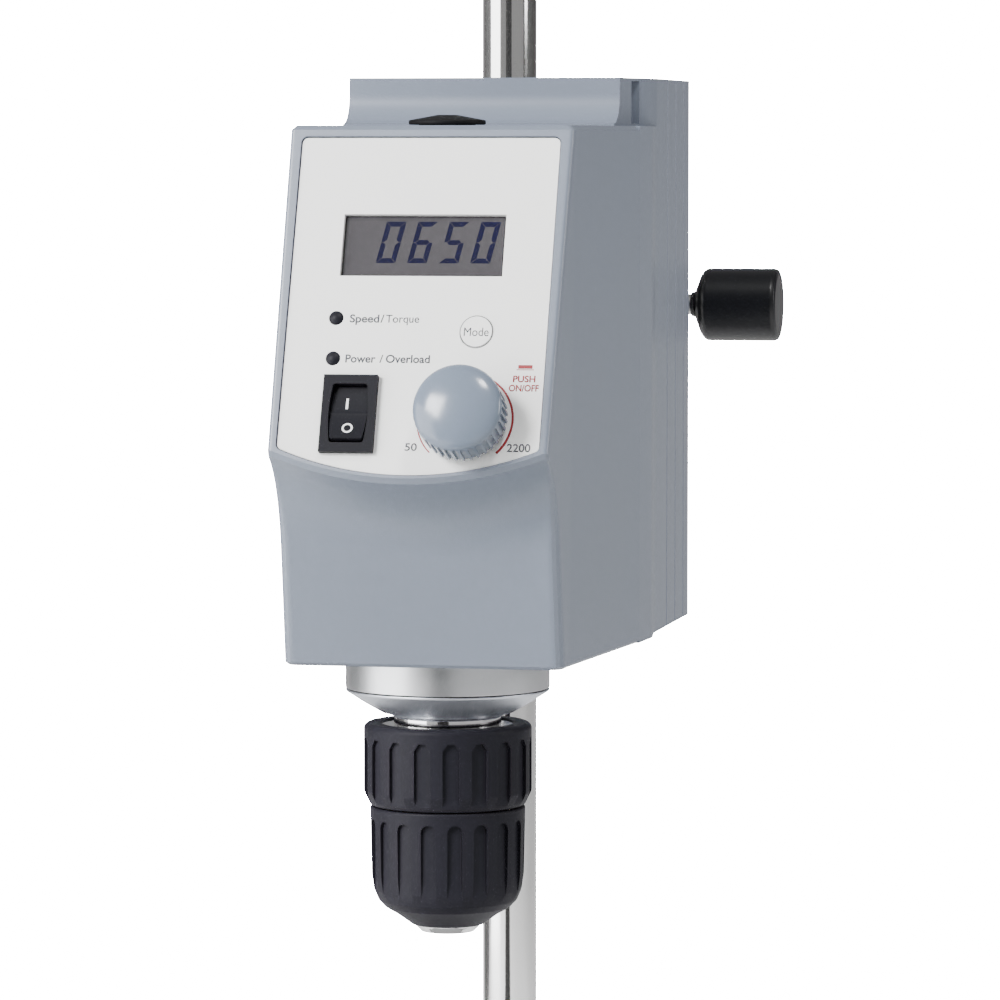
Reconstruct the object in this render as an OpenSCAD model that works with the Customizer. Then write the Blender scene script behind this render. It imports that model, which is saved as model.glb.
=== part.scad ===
// Overhead stirrer on a stand rod, with a keyless chuck, in millimetres.
// The origin is on the spindle axis, level with the underside of the housing.
// +Z is up, the control panel faces -Y, and the stand rod is behind at +Y.

/* [Housing] */
// Height of the front housing
front_h = 136.7; // [130:0.1:142]
// Height of the riser on the rear housing, above the top of the front housing
riser_h = 12.8; // [10.4:0.1:20]
// Width of the front housing at the bend of its side walls
front_w = 72.8; // [71.6:0.2:76]
// Width of the front housing at the lip below the panel
lip_w = 71.4; // [69:0.2:71.6]
// Width where the two housings meet
seam_w = 85; // [80:0.5:90]
// Width of the rear housing behind its side step
rear_w = 83.2; // [78:0.2:84]
// Distance from the spindle axis forward to the face at the underside
foot_y = 31.5; // [30:0.1:34]
// Forward lean of the lower front face, degrees
face_lean = 9.7; // [6:0.1:11]
// Distance from the spindle axis back to the seam
seam_y = 44.6; // [42:0.1:48]
// Distance from the spindle axis back to the rear wall
rear_y = 134.6; // [133:0.1:150]
// Wall thickness of the housings
wall = 3; // [2.4:0.1:3.4]
// Radius of the cove at the foot of the riser
cove_r = 8; // [6:0.5:10]
// Width of the riser at its front face
riser_w = 73; // [70:0.2:76]
// Depth of the upright groove in each side of the riser
riser_groove_d = 2.6; // [1:0.2:3]
// Depth of the three grooves down each side
groove_d = 0.5; // [0.3:0.1:1]

/* [Control panel] */
// Distance from the spindle axis forward to the panel's top edge
panel_top_y = 19; // [17:0.1:21]
// Lean of the panel from the vertical, degrees
panel_tilt = 20.9; // [19:0.1:22]
// Length down the slope to the lowest point of the lip
panel_drop = 94.8; // [93:0.1:97]
// Radius of the arc along the lip
lip_arc_r = 91; // [80:1:120]
// Width of the rim round the control panel
rim_w = 2.7; // [2.2:0.1:3.2]
// Chamfer round the outside of the rim
rim_edge = 1.2; // [0.8:0.1:1.4]
// Depth of the panel plate below the rim
panel_set = 0.5; // [0.2:0.1:1]
// Thickness of the panel plate
panel_t = 1.5; // [1:0.1:2]
// Display window, width
window_w = 41.6; // [38:0.2:44]
// Display window, height
window_h = 16.4; // [14:0.2:18]
// Indicator lamp radius
lamp_r = 1.83; // [1.2:0.05:2.5]
// Mode button radius
button_r = 4.15; // [3:0.05:5]
// Power switch frame, width
switch_w = 13.8; // [12.8:0.1:15]
// Power switch frame, height
switch_h = 20.2; // [19:0.1:21]
// Tilt of the rocker to either side, degrees
rocker_tilt = 10; // [5:0.5:12]
// Speed knob radius over the flutes
knob_r = 11.3; // [10:0.1:11.8]
// Speed knob height
knob_h = 12; // [10:0.1:14]
// Number of flutes round the knob
knob_flutes = 36; // [24:1:40]

/* [Spindle and motor] */
// Bore of the hollow spindle, radius
bore_r = 5.2; // [4:0.1:5.5]
// Outside radius of the spindle
spindle_r = 8.5; // [8:0.1:9]
// Outside radius of the spindle's ball bearings
bearing_r = 17.5; // [16.5:0.1:19]
// Width of a ball bearing
bearing_w = 10; // [9:0.5:12]
// Distance from the top of the front housing down to the upper bearing
bearing_drop = 24.7; // [22:0.1:30]
// Distance from the spindle axis back to the motor shaft
motor_y = 62; // [58:0.5:66]
// Motor radius
motor_r = 28; // [24:0.5:30]
// Motor length
motor_h = 50; // [40:1:52]
// Teeth on the spindle pulley
spindle_teeth = 36; // [30:2:38]
// Teeth on the motor pulley
motor_teeth = 18; // [16:1:20]
// Height of the belt's lower edge
belt_z = 76; // [75:0.5:80]
// Width of the belt
belt_w = 9; // [6:0.5:12]

/* [Chuck] */
// Collar radius under the housing
collar_r = 26.4; // [24:0.1:28]
// Collar height
collar_h = 7.8; // [6:0.1:9]
// Height of the cone below the collar
cone_h = 6.8; // [5:0.1:8]
// Radius of the chrome neck between the cone and the sleeve
neck_r = 13.9; // [12.5:0.1:15]
// Radius of the steel disc inside the rear sleeve
hub_r = 16.9; // [16:0.1:17.5]
// Rear sleeve radius
rear_sleeve_r = 21.7; // [21:0.1:23]
// Rear sleeve height
rear_sleeve_h = 21.3; // [20:0.1:23]
// Front sleeve radius
front_sleeve_r = 20.05; // [19.6:0.05:20.6]
// Front sleeve height
front_sleeve_h = 30.9; // [30:0.1:33]
// Radius of the nose ring at the sleeve's mouth
nose_r = 8.7; // [8:0.1:9.2]
// Grooves round each sleeve
sleeve_grooves = 18; // [12:1:20]
// Radius of a jaw
jaw_r = 2.9; // [2.5:0.1:3]
// Length of a jaw
jaw_l = 24; // [20:0.5:25]
// Slope of the jaws from the spindle axis, degrees
jaw_slope = 15; // [13:0.5:15]
// Travel of a jaw along its bore
jaw_travel = 18; // [14:0.5:18]

/* [Stand] */
// Stand rod radius
rod_r = 8; // [6:0.5:9]
// Stand rod offset to the left of the spindle axis
rod_x = -23.3; // [-28:0.1:-23]
// Distance from the spindle axis back to the stand rod
rod_y = 202; // [196:1:220]
// Height of the rod's top end
rod_top = 210; // [180:1:400]
// Depth of the rod's lower end
rod_foot = 150; // [130:1:400]
// Radius of the screw end under the rod
stud_r = 5; // [4:0.5:6]
// Length of the screw end
stud_l = 18; // [12:1:25]
// Support arm radius
arm_r = 6.5; // [5:0.5:7]
// Height of the support arm
arm_z = 85; // [84:0.5:90]
// Distance from the spindle axis back to the end of the arm
arm_end = 272; // [255:1:320]
// Boss head, length along the arm and the rod
boss_l = 28; // [24:1:32]
// Wall of the boss head's hooks
boss_t = 9; // [7:0.5:11]
// Clamp screw radius
screw_r = 3; // [2.5:0.25:3.2]
// Clamp knob radius
clamp_knob_r = 10.6; // [9:0.1:12]
// Clamp knob length
clamp_knob_l = 26; // [20:1:32]
// Clear length of screw between the boss head and its knob
screw_gap = 12.7; // [8:0.1:16]

/* [Hidden] */
$fn = 64;

// heights that follow from the sizes above
rear_h = front_h + riser_h;
upper_bearing_z = front_h - bearing_drop;

// clearances
run = 0.05;        // turning or sliding fit, radial
gap = 0.3;         // between pieces that move past each other
fit = 0.02;        // between pieces fixed to each other
eps = 1;           // overshoot of a cut

// colours
shell_grey = "#9aa2ad";
satin_silver = "#c4c6ca";
cone_grey = "#7f858e";
panel_white = "#e9e8e4";
jet = "#1d1d21";
chuck_black = "#35343a";
steel = "#d5d3cf";
brass_tone = "#b9a25a";
board_green = "#2f6b46";
copper_tone = "#a9623a";

// ---------------------------------------------------------------- front form
bend_y = -22;                       // where the side walls start to flare
foot_edge = 0.8;                    // chamfer round the underside
corner_r = 3;                       // radius of the lower front corners
lip_cove = 21.6;                    // height of the hollow under the lip
lip_cove_knee = 6;                  // height of its control point below the lip
lip_reach = panel_top_y + (panel_drop - 7.3) * sin(panel_tilt);
cols = 9;                           // points across half of the front
corner_cols = 4;                    // points round one corner
cove_rows = 7;                      // rows down the hollow

function panel_pt(x, v, n) = [
  x,
  -panel_top_y - v * sin(panel_tilt) - n * cos(panel_tilt),
  front_h - v * cos(panel_tilt) + n * sin(panel_tilt)
];
function lip_v(x) = panel_drop - lip_arc_r + sqrt(lip_arc_r * lip_arc_r - x * x);
function face_y(z) = -foot_y - z * tan(face_lean);
function side_w(y) = y > bend_y
  ? front_w / 2 + (y - bend_y) * (seam_w - front_w) / 2 / (seam_y - bend_y)
  : front_w / 2 - (bend_y - y) * (front_w - lip_w) / 2 / (bend_y + lip_reach);
function bezier(a, b, c, t) = (1 - t) * (1 - t) * a + 2 * t * (1 - t) * b + t * t * c;

// the hollow under the lip: from the lip's edge at t = 0 to the lower face at t = 1
function lip_pt(x) = panel_pt(x, lip_v(x), -rim_edge);
function cove_pt(x, t) = let (
  top = lip_pt(x),
  knee = [x, face_y(top[2] - lip_cove_knee), top[2] - lip_cove_knee],
  foot = [x, face_y(top[2] - lip_cove), top[2] - lip_cove]
) bezier(top, knee, foot, t);

// rows of the front form, from the underside up to the top face
rows = cove_rows + 6;
function row_pt(r, x) =
  r == 0 ? [x, face_y(0) + foot_edge, 0]
  : r == 1 ? [x, face_y(foot_edge), foot_edge]
  : r < cove_rows + 3 ? cove_pt(x, 1 - (r - 2) / cove_rows)
  : r == cove_rows + 3 ? panel_pt(x, lip_v(x) - rim_edge, 0)
  : r == cove_rows + 4 ? panel_pt(x, rim_edge, 0)
  : [x, -panel_top_y + rim_edge, front_h];
function row_corner(r) = r < 3 ? corner_r
  : r < cove_rows + 3 ? corner_r + (rim_edge - corner_r) * (r - 2) / cove_rows
  : rim_edge;
function row_inset(r) = r == 0 ? foot_edge : r == rows - 1 ? rim_edge : 0;

// right half of a row, from the middle of the front round to the seam
function half_row(r) = let (
  c = row_corner(r),
  face = row_pt(r, front_w / 2 - c),
  w = side_w(face[1]) - row_inset(r),
  side_y = max(bend_y, face[1] + c + 1)
) concat(
  [for (i = [0 : cols - 1]) row_pt(r, (w - c) * i / (cols - 1))],
  [for (i = [1 : corner_cols]) let (a = 90 * i / corner_cols)
    [w - c + c * sin(a), row_pt(r, w - c)[1] + c * (1 - cos(a)), row_pt(r, w - c)[2]]],
  [for (y = [side_y, seam_y]) [side_w(y) - row_inset(r), y, row_pt(r, w - c)[2]]]
);
function full_row(r) = let (half = half_row(r), n = len(half)) concat(
  half,
  [for (i = [n - 1 : -1 : 1]) [-half[i][0], half[i][1], half[i][2]]]
);
ring_n = 2 * (cols + corner_cols + 2) - 1;

module front_form() {
  ends = rows * ring_n;             // the middle of the floor, then the middle of the top
  points = concat(
    [for (r = [0 : rows - 1]) each full_row(r)],
    [[0, 0, 0], [0, 0, front_h]]
  );
  sides = [for (r = [0 : rows - 2], i = [0 : ring_n - 1]) let (
      a = r * ring_n + i,
      b = r * ring_n + (i + 1) % ring_n
    ) each [[a, b + ring_n, b], [a, a + ring_n, b + ring_n]]];
  floor_fan = [for (i = [0 : ring_n - 1]) [i, (i + 1) % ring_n, ends]];
  top_fan = [for (i = [0 : ring_n - 1]) let (first = (rows - 1) * ring_n)
    [first + (i + 1) % ring_n, first + i, ends + 1]];
  polyhedron(points, concat(sides, floor_fan, top_fan), convexity = 6);
}

// puts its children on the panel: x across, y up the slope, z out of the panel
module on_panel(x = 0, v = 0, n = 0) {
  translate(panel_pt(x, v, n)) rotate([90 - panel_tilt, 0, 0]) children();
}

// outline of the control panel, drawn in the panel's own plane
plate_w = lip_w - 2 * rim_w + 0.6;
plate_corner = 1.5;
plate_arc_r = lip_arc_r - rim_w * 2;
plate_drop = panel_drop - rim_w + 0.5;
plate_top = rim_w + 0.5;
arc_steps = 24;
module plate_outline(grow = 0) {
  offset(r = plate_corner + grow) offset(delta = -plate_corner)
    polygon(concat(
      [[plate_w / 2, -plate_top], [-plate_w / 2, -plate_top]],
      [for (i = [0 : arc_steps]) let (x = plate_w * (i / arc_steps - 0.5))
        [x, -plate_drop + plate_arc_r - sqrt(plate_arc_r * plate_arc_r - x * x)]]
    ));
}

// places of the controls on the panel: across, then down the slope
window_at = [0, 32];
mode_lamp_at = [-20.8, 51.5];
power_lamp_at = [-20.8, 62.2];
button_at = [15.3, 54.9];
switch_at = [-15.45, 77];
knob_at = [14, 78];
plate_n = -panel_set;                       // front of the panel plate
plate_back = plate_n - panel_t;             // back of the panel plate
shell_back = plate_back - wall + 0.5;       // inside of the housing behind the plate

// power switch: body behind the frame
switch_body_w = switch_w - 1.4;
switch_body_h = switch_h - 1.6;
switch_body_d = 17;
switch_lip = 1.6;

// speed encoder
encoder_w = 12;
encoder_d = 8;
encoder_shaft_r = 3;
encoder_bush_r = 3.5;
push_travel = 0.8;

module panel_holes(extra = 0) {
  translate([window_at[0], -window_at[1]]) square([window_w + 2 * extra, window_h + 2 * extra], center = true);
  for (p = [mode_lamp_at, power_lamp_at]) translate([p[0], -p[1]]) circle(lamp_r + fit + extra);
  translate([button_at[0], -button_at[1]]) circle(button_r + 0.15 + extra);
  translate([switch_at[0], -switch_at[1]])
    square([switch_body_w + 2 * fit + 2 * extra, switch_body_h + 2 * fit + 2 * extra], center = true);
  translate([knob_at[0], -knob_at[1]]) circle(encoder_bush_r + fit + extra);
}

// pocket in the front housing behind the switch and the encoder
pocket_w = 46;
pocket_h = 25;
pocket_v = 76.5;

module front_cavity() {
  rotate([90, 0, 90]) translate([0, 0, -seam_w / 2]) linear_extrude(seam_w) polygon([
    [seam_y + eps, wall],
    [face_y(wall) + wall, wall],
    [face_y(32) + wall, 32],
    [panel_pt(0, 80, shell_back)[1], panel_pt(0, 80, shell_back)[2]],
    [panel_pt(0, 2, shell_back)[1], front_h - wall],
    [seam_y + eps, front_h - wall]
  ]);
}
module side_limit(inset) {
  translate([0, 0, -eps]) linear_extrude(front_h + 2 * eps) polygon(concat(
    [for (y = [-lip_reach - 5, bend_y, seam_y + eps]) [side_w(y) - inset, y]],
    [for (y = [seam_y + eps, bend_y, -lip_reach - 5]) [-side_w(y) + inset, y]]
  ));
}

// hole for a tool shaft through the top, and for the bearing tube through the floor
cap_hole_r = bore_r + 2.2;
tube_r = bearing_r + 3.5;

// screw posts in the corners of both housings
post_r = 4.6;
post_l = 22;                        // length of the posts in the front housing
post_bite = 0.6;                    // how far a post runs into the walls beside it
post_x = side_w(seam_y - post_l) - wall - post_r + post_bite;
post_low = wall + post_r - 1;
post_high = front_h - wall - post_r + 1;
long_screw_r = 2;
module at_posts() {
  for (x = [-post_x, post_x], z = [post_low, post_high]) translate([x, 0, z]) rotate([-90, 0, 0]) children();
}

module front_housing() color(shell_grey) difference() {
  union() {
    difference() {
      front_form();
      intersection() {
        front_cavity();
        side_limit(wall);
      }
    }
    translate([0, seam_y - post_l, 0]) at_posts() cylinder(r = post_r, h = post_l);
  }
  on_panel(0, 0, plate_back) linear_extrude(panel_t + panel_set + eps) plate_outline(0.25);
  on_panel(0, 0, plate_back - 4) linear_extrude(4 + eps) panel_holes(0.6);
  on_panel((switch_at[0] + knob_at[0]) / 2, pocket_v, shell_back - 20)
    translate([-pocket_w / 2, -pocket_h / 2, 0]) cube([pocket_w, pocket_h, 20]);
  translate([0, 0, -eps]) cylinder(r = tube_r + 0.2, h = wall + 2 * eps);
  translate([0, 0, front_h - wall - eps]) cylinder(r = cap_hole_r, h = wall + 2 * eps);
  translate([0, seam_y - 20, 0]) at_posts() cylinder(r = long_screw_r, h = 20 + eps);
}

// ---------------------------------------------------------------- rear housing
step_start = seam_y + 14;
step_end = seam_y + 32;
step_flare = 0.85;                  // the side strip goes on widening up to the step
rear_corner = 3;
step_points = 8;
riser_front = seam_y - 5;           // foot of the cove, on top of the front housing
riser_flange = 0.6;                 // thin foot that laps over the front housing
flange_z = front_h + riser_flange;
riser_wall = 4.4;                   // side wall of the riser
riser_flare = 0.1;                  // how much wider the riser is at the top of its cove
groove_front = seam_y + 15.1;       // front edge of the riser's side groove
groove_back = seam_y + 20.3;        // rear edge of the riser's side groove
groove_mid = riser_w / 2 + 1.1;     // half width of the riser at the groove's front edge
groove_lap = riser_w / 2 + 2.4;     // half width of the riser at the groove's rear edge
groove_slant = 0.9;                 // slope of the groove's two side faces
groove_rim = 0.8;                   // skin that closes the groove on top
groove_y = [for (i = [0 : 2]) rear_y - 12 - 13.9 * i];
groove_w = 1;

rear_bend = [for (a = [0 : 22.5 : 90])
  [rear_w / 2 - rear_corner + rear_corner * cos(a), rear_y - rear_corner + rear_corner * sin(a)]];

// right edge of the rear housing's outline, front to back
function rear_side() = concat(
  [[seam_w / 2, seam_y], [seam_w / 2 + step_flare, step_start]],
  [for (i = [1 : step_points]) let (t = i / step_points)
    [seam_w / 2 + step_flare + (rear_w / 2 - seam_w / 2 - step_flare) * (1 - cos(180 * t)) / 2,
     step_start + (step_end - step_start) * t]],
  rear_bend
);
// right edge of the riser's outline, front to back
function riser_side() = concat(
  [[riser_w / 2, riser_front], [riser_w / 2 + riser_flare, riser_front + cove_r],
   [groove_mid, groove_front], [groove_lap, groove_back], [rear_w / 2, step_end]],
  rear_bend
);
function both_sides(side) = concat(side, [for (i = [len(side) - 1 : -1 : 0]) [-side[i][0], side[i][1]]]);

module riser() difference() {
  translate([0, 0, front_h - eps]) linear_extrude(riser_h + eps) polygon(both_sides(riser_side()));
  // the foot of the riser lies on top of the front housing
  translate([-seam_w, riser_front - eps, front_h - 2 * eps]) cube([2 * seam_w, seam_y - riser_front + eps, 2 * eps]);
  // the cove across the front
  rotate([90, 0, 90]) translate([0, 0, -seam_w / 2]) linear_extrude(seam_w) polygon(concat(
    [[riser_front - eps, rear_h + eps], [riser_front - eps, flange_z]],
    [for (a = [0 : 9 : 90]) [riser_front + cove_r * sin(a), flange_z + cove_r * (1 - cos(a))]],
    [[riser_front + cove_r, rear_h + eps]]
  ));
  // the upright groove in each side
  for (s = [0, 1]) mirror([s, 0, 0])
    translate([0, 0, flange_z]) linear_extrude(riser_h - riser_flange - groove_rim) polygon([
      [groove_mid + eps, groove_front - eps * groove_slant], [groove_mid, groove_front],
      [groove_mid - riser_groove_d, groove_front + groove_slant],
      [groove_mid - riser_groove_d, groove_back - groove_slant], [groove_lap, groove_back],
      [groove_lap + eps, groove_back + eps * 0.4]
    ]);
}

// rear wall fittings
inlet_z = 28;
inlet_w = 27.4;
inlet_h = 19.6;
inlet_d = 20;
port_z = 55;
port_w = 17.5;
port_h = 9.5;
port_d = 10;
screw_head_r = 3.6;
screw_head_h = 3.2;
socket_r = 17;
socket_pcd = 25.5;
socket_t = 5;
socket_neck_r = 10.5;
socket_neck = 11;

module rear_fittings_holes() {
  translate([0, rear_y - wall - eps, 0]) {
    translate([-inlet_w / 2 - fit, 0, inlet_z - inlet_h / 2 - fit])
      cube([inlet_w + 2 * fit, wall + 2 * eps, inlet_h + 2 * fit]);
    translate([-port_w / 2 - fit, 0, port_z - port_h / 2 - fit])
      cube([port_w + 2 * fit, wall + 2 * eps, port_h + 2 * fit]);
    translate([0, 0, arm_z]) rotate([-90, 0, 0]) cylinder(r = arm_r + 1, h = wall + 2 * eps);
    translate([0, 0, arm_z]) at_socket_screws() cylinder(r = 1.7, h = wall + 2 * eps);
  }
}
module at_socket_screws() {
  for (a = [45 : 90 : 315])
    translate([socket_pcd / 2 * cos(a), 0, socket_pcd / 2 * sin(a)]) rotate([-90, 0, 0]) children();
}

// inside of the riser: half width, front
riser_room = [riser_w / 2 - riser_wall, riser_front + cove_r + wall];
module rear_housing() color(shell_grey) difference() {
  union() {
    difference() {
      union() {
        linear_extrude(front_h) polygon(both_sides(rear_side()));
        riser();
      }
      translate([0, 0, wall]) linear_extrude(front_h - 2 * wall) difference() {
        offset(delta = -wall) polygon(both_sides(rear_side()));
        translate([-seam_w, seam_y]) square([2 * seam_w, wall + eps]);
      }
      translate([-seam_w / 2 + wall, seam_y - eps, wall])
        cube([seam_w - 2 * wall, 2 * wall, front_h - 2 * wall]);
      translate([-riser_room[0], riser_room[1], front_h - wall - eps])
        cube([2 * riser_room[0], rear_y - wall - riser_room[1], rear_h - front_h + eps]);
      for (s = [-1, 1], y = groove_y)
        translate([s * (rear_w / 2 + groove_w / 2 - groove_d), y, -eps])
          rotate([0, 0, 45]) translate([-groove_w / 2, -groove_w / 2, 0]) cube([groove_w, groove_w, rear_h + 2 * eps]);
    }
    translate([0, seam_y, 0]) at_posts() cylinder(r = post_r, h = rear_y - seam_y - wall / 2);
  }
  translate([0, seam_y - eps, 0]) at_posts() cylinder(r = long_screw_r + 0.2, h = rear_y);
  translate([0, rear_y - screw_head_h - 0.4, 0]) at_posts() cylinder(r = screw_head_r + 0.3, h = screw_head_h + eps);
  rear_fittings_holes();
}

module hex_socket(r, depth) {
  translate([0, 0, -depth]) cylinder(r = r, h = depth + eps, $fn = 6);
}

module housing_screws() color(steel) translate([0, seam_y - 16, 0]) at_posts() difference() {
  union() {
    cylinder(r = long_screw_r - fit, h = rear_y - seam_y + 16 - screw_head_h - 0.4);
    translate([0, 0, rear_y - seam_y + 16 - screw_head_h - 0.4]) cylinder(r = screw_head_r, h = screw_head_h);
  }
  translate([0, 0, rear_y - seam_y + 16 - 0.4]) hex_socket(1.8, 2);
}

// ---------------------------------------------------------------- chassis and arm
plate_z = 66;
chassis_t = 6;
cheek_t = 5;
cheek_x = 23;
arm_boss_w = 30;
arm_boss_l = 30;
arm_boss_y = rear_y - wall - arm_boss_l;
cheek_front = -20;                  // front edge of the chassis plates
cheek_l = 45;

module chassis() color(satin_silver) difference() {
  union() {
    translate([0, 0, 0.2]) cylinder(r = tube_r, h = bearing_w + 7);
    translate([-cheek_x - cheek_t, cheek_front, wall + 0.2]) cube([2 * (cheek_x + cheek_t), cheek_l + 5, chassis_t]);
    translate([-cheek_x - cheek_t, cheek_front, plate_z])
      cube([2 * (cheek_x + cheek_t), arm_boss_y + 10 - cheek_front, chassis_t]);
    for (s = [-1, 1]) translate([s * (cheek_x + cheek_t / 2), cheek_front, wall + 0.2])
      translate([-cheek_t / 2, 0, 0]) cube([cheek_t, cheek_l, upper_bearing_z + bearing_w - wall - 0.2]);
    translate([-cheek_x - cheek_t, cheek_front, upper_bearing_z - 2])
      cube([2 * (cheek_x + cheek_t), cheek_l, bearing_w + 2]);
    translate([-arm_boss_w / 2, arm_boss_y, plate_z]) cube([arm_boss_w, arm_boss_l, 2 * (arm_z - plate_z)]);
  }
  translate([0, 0, -eps]) cylinder(r = spindle_r + 1.5, h = upper_bearing_z + 2 * bearing_w);
  translate([0, 0, 4]) cylinder(r = bearing_r + fit, h = bearing_w + eps * 10);
  translate([0, 0, plate_z - eps]) cylinder(r = spindle_r + 3, h = chassis_t + 2 * eps);
  translate([0, 0, upper_bearing_z]) cylinder(r = bearing_r + fit, h = bearing_w + eps);
  translate([0, motor_y, plate_z - eps]) cylinder(r = 11, h = chassis_t + 2 * eps);
  translate([0, arm_boss_y - eps, arm_z]) rotate([-90, 0, 0]) cylinder(r = arm_r + fit, h = arm_boss_l + 2 * eps);
  translate([0, rear_y - wall - 10, arm_z]) at_socket_screws() cylinder(r = 1.5 + fit, h = 10 + eps);
  translate([0, motor_y, wall]) cylinder(r = motor_r + 0.5, h = plate_z - wall - 0.01);
}

module support_arm() color(steel) translate([0, arm_boss_y + 4, arm_z]) rotate([-90, 0, 0]) {
  cylinder(r = arm_r, h = arm_end - arm_boss_y - 4 - 1);
  translate([0, 0, arm_end - arm_boss_y - 5]) cylinder(r1 = arm_r, r2 = arm_r - 1, h = 1);
}

module arm_socket() color(satin_silver) translate([0, rear_y, arm_z]) difference() {
  rotate([-90, 0, 0]) {
    cylinder(r = socket_r, h = socket_t);
    translate([0, 0, socket_t]) cylinder(r = socket_neck_r, h = socket_neck);
  }
  translate([0, -eps, 0]) rotate([-90, 0, 0]) cylinder(r = arm_r + fit, h = socket_t + socket_neck + 2 * eps);
  translate([0, -eps, 0]) at_socket_screws() cylinder(r = 1.7, h = socket_t + 2 * eps);
  translate([0, socket_t - 2, 0]) at_socket_screws() cylinder(r = 3.1, h = 3);
  translate([0, socket_t + socket_neck / 2, arm_r]) cylinder(r = 2.5, h = socket_neck_r);
}
module socket_screws() color(steel) translate([0, rear_y, arm_z]) at_socket_screws() difference() {
  union() {
    translate([0, 0, -wall - 8]) cylinder(r = 1.5, h = wall + 8 + socket_t - 2);
    translate([0, 0, socket_t - 2]) cylinder(r = 2.8, h = 1.8);
  }
  translate([0, 0, socket_t - 0.2]) hex_socket(1.4, 1.2);
}
module arm_lock_screw() color(jet) translate([0, rear_y + socket_t + socket_neck / 2, arm_z + arm_r + fit]) difference() {
  cylinder(r = 2.5 - fit, h = socket_neck_r - arm_r - 0.6);
  translate([0, 0, socket_neck_r - arm_r - 0.6]) hex_socket(1.4, 2);
}

// ---------------------------------------------------------------- control panel pieces
module control_panel() color(panel_white) difference() {
  on_panel(0, 0, plate_back + fit) linear_extrude(panel_t - fit) plate_outline(0);
  on_panel(0, 0, plate_back - eps) linear_extrude(panel_t + 2 * eps) panel_holes();
}
window_t = 1;
module display_window() color("#8f9496", 0.5) on_panel(window_at[0], window_at[1], plate_n - window_t - 0.15)
  linear_extrude(window_t) square([window_w - 2 * fit, window_h - 2 * fit], center = true);

module_w = window_w + 0.6;
module_h = window_h + 0.6;
module_d = 5;
module display_module() color("#5d6468") on_panel(window_at[0], window_at[1], plate_n - window_t - 0.2 - module_d) {
  linear_extrude(module_d - 0.5) square([module_w, module_h], center = true);
  translate([0, 0, module_d - 0.5]) linear_extrude(0.5) square([window_w - 1, window_h - 1], center = true);
}
board_n = plate_n - window_t - 0.2 - module_d;
board_t = 1.6;
board_w = plate_w - 8.6;
board_v = [window_at[1] - 2, power_lamp_at[1] + 4.8];   // upper and lower edge of the display board
board_hole_r = 1.6;
board_hole_in = 3;                  // from the board's edges to its fixing holes
module display_board() color(board_green) on_panel(0, 0, board_n - board_t) difference() {
  linear_extrude(board_t) translate([-board_w / 2, -board_v[1]]) square([board_w, board_v[1] - board_v[0]]);
  for (s = [-1, 1], v = [board_v[0] + board_hole_in, board_v[1] - board_hole_in])
    translate([s * (board_w / 2 - board_hole_in), -v, -eps]) cylinder(r = board_hole_r, h = board_t + 2 * eps);
}
module lamp_lens(at) on_panel(at[0], at[1], board_n) {
  cylinder(r = lamp_r, h = -board_n - panel_set - 0.1);
  translate([0, 0, -board_n - panel_set - 0.1]) intersection() {
    translate([0, 0, -lamp_r * 1.2]) sphere(r = lamp_r * 1.56);
    cylinder(r = lamp_r, h = lamp_r);
  }
}
module mode_lamp() color(jet) lamp_lens(mode_lamp_at);
module power_lamp() color(jet) lamp_lens(power_lamp_at);

button_travel = 0.6;
button_top = plate_n + 0.25;
switch_top = board_n + 3.5;
module mode_switch() color(jet) on_panel(button_at[0], button_at[1], board_n) {
  linear_extrude(2.4) square([6, 6], center = true);
  translate([0, 0, 2.4]) cylinder(r = 1.7, h = switch_top - board_n - 2.4 - button_travel);
}
module mode_button() color(panel_white) on_panel(button_at[0], button_at[1], switch_top) {
  cylinder(r = 1.5, h = 1);
  translate([0, 0, 0.8]) cylinder(r = button_r, h = button_top - switch_top - 0.8);
}

rocker_w = 9.4;                    // across the middle, where the rocker is widest
rocker_end_w = 8.2;                // across its two ends
rocker_h = 14.8;
rocker_corner = 0.8;
rocker_pivot = -2.1;               // depth of the rocker's axis below the frame's face
rocker_front = 1.5;                // height of the rocker's ends over its axis
rocker_hollow = 0.45;              // how far its face dips in the middle
rocker_pin_r = 1.1;
rocker_steps = 12;
rocker_skirt = 4;
frame_n = plate_n + switch_lip;
module rocker_outline(grow = 0) offset(r = rocker_corner, $fn = 32) offset(delta = grow - rocker_corner)
  polygon(both_sides([for (i = [0 : rocker_steps]) let (t = 2 * i / rocker_steps - 1)
    [rocker_end_w / 2 + (rocker_w - rocker_end_w) / 2 * cos(90 * t), rocker_h / 2 * t]]));
module rocker_frame() color(jet) on_panel(switch_at[0], switch_at[1], plate_n) difference() {
  union() {
    linear_extrude(switch_lip) square([switch_w, switch_h], center = true);
    translate([0, 0, -switch_body_d]) linear_extrude(switch_body_d)
      square([switch_body_w, switch_body_h], center = true);
    for (x = [-3, 3]) translate([x - 0.4, -3, -switch_body_d - 7]) cube([0.8, 6, 7.5]);
  }
  translate([0, 0, -9]) linear_extrude(9 + switch_lip + eps) rocker_outline(gap);
  translate([0, 0, switch_lip + rocker_pivot]) rotate([0, 90, 0])
    translate([0, 0, -switch_body_w / 2 + 0.4]) cylinder(r = rocker_pin_r + run, h = switch_body_w - 0.8);
}
module rocker_section() polygon(concat(
  [[-rocker_h / 2 + 0.9, -rocker_skirt], [-rocker_h / 2, 0]],
  [for (i = [0 : rocker_steps]) let (t = 2 * i / rocker_steps - 1)
    [rocker_h / 2 * t, rocker_front - rocker_hollow * cos(90 * t)]],
  [[rocker_h / 2, 0], [rocker_h / 2 - 0.9, -rocker_skirt]]
));
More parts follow.
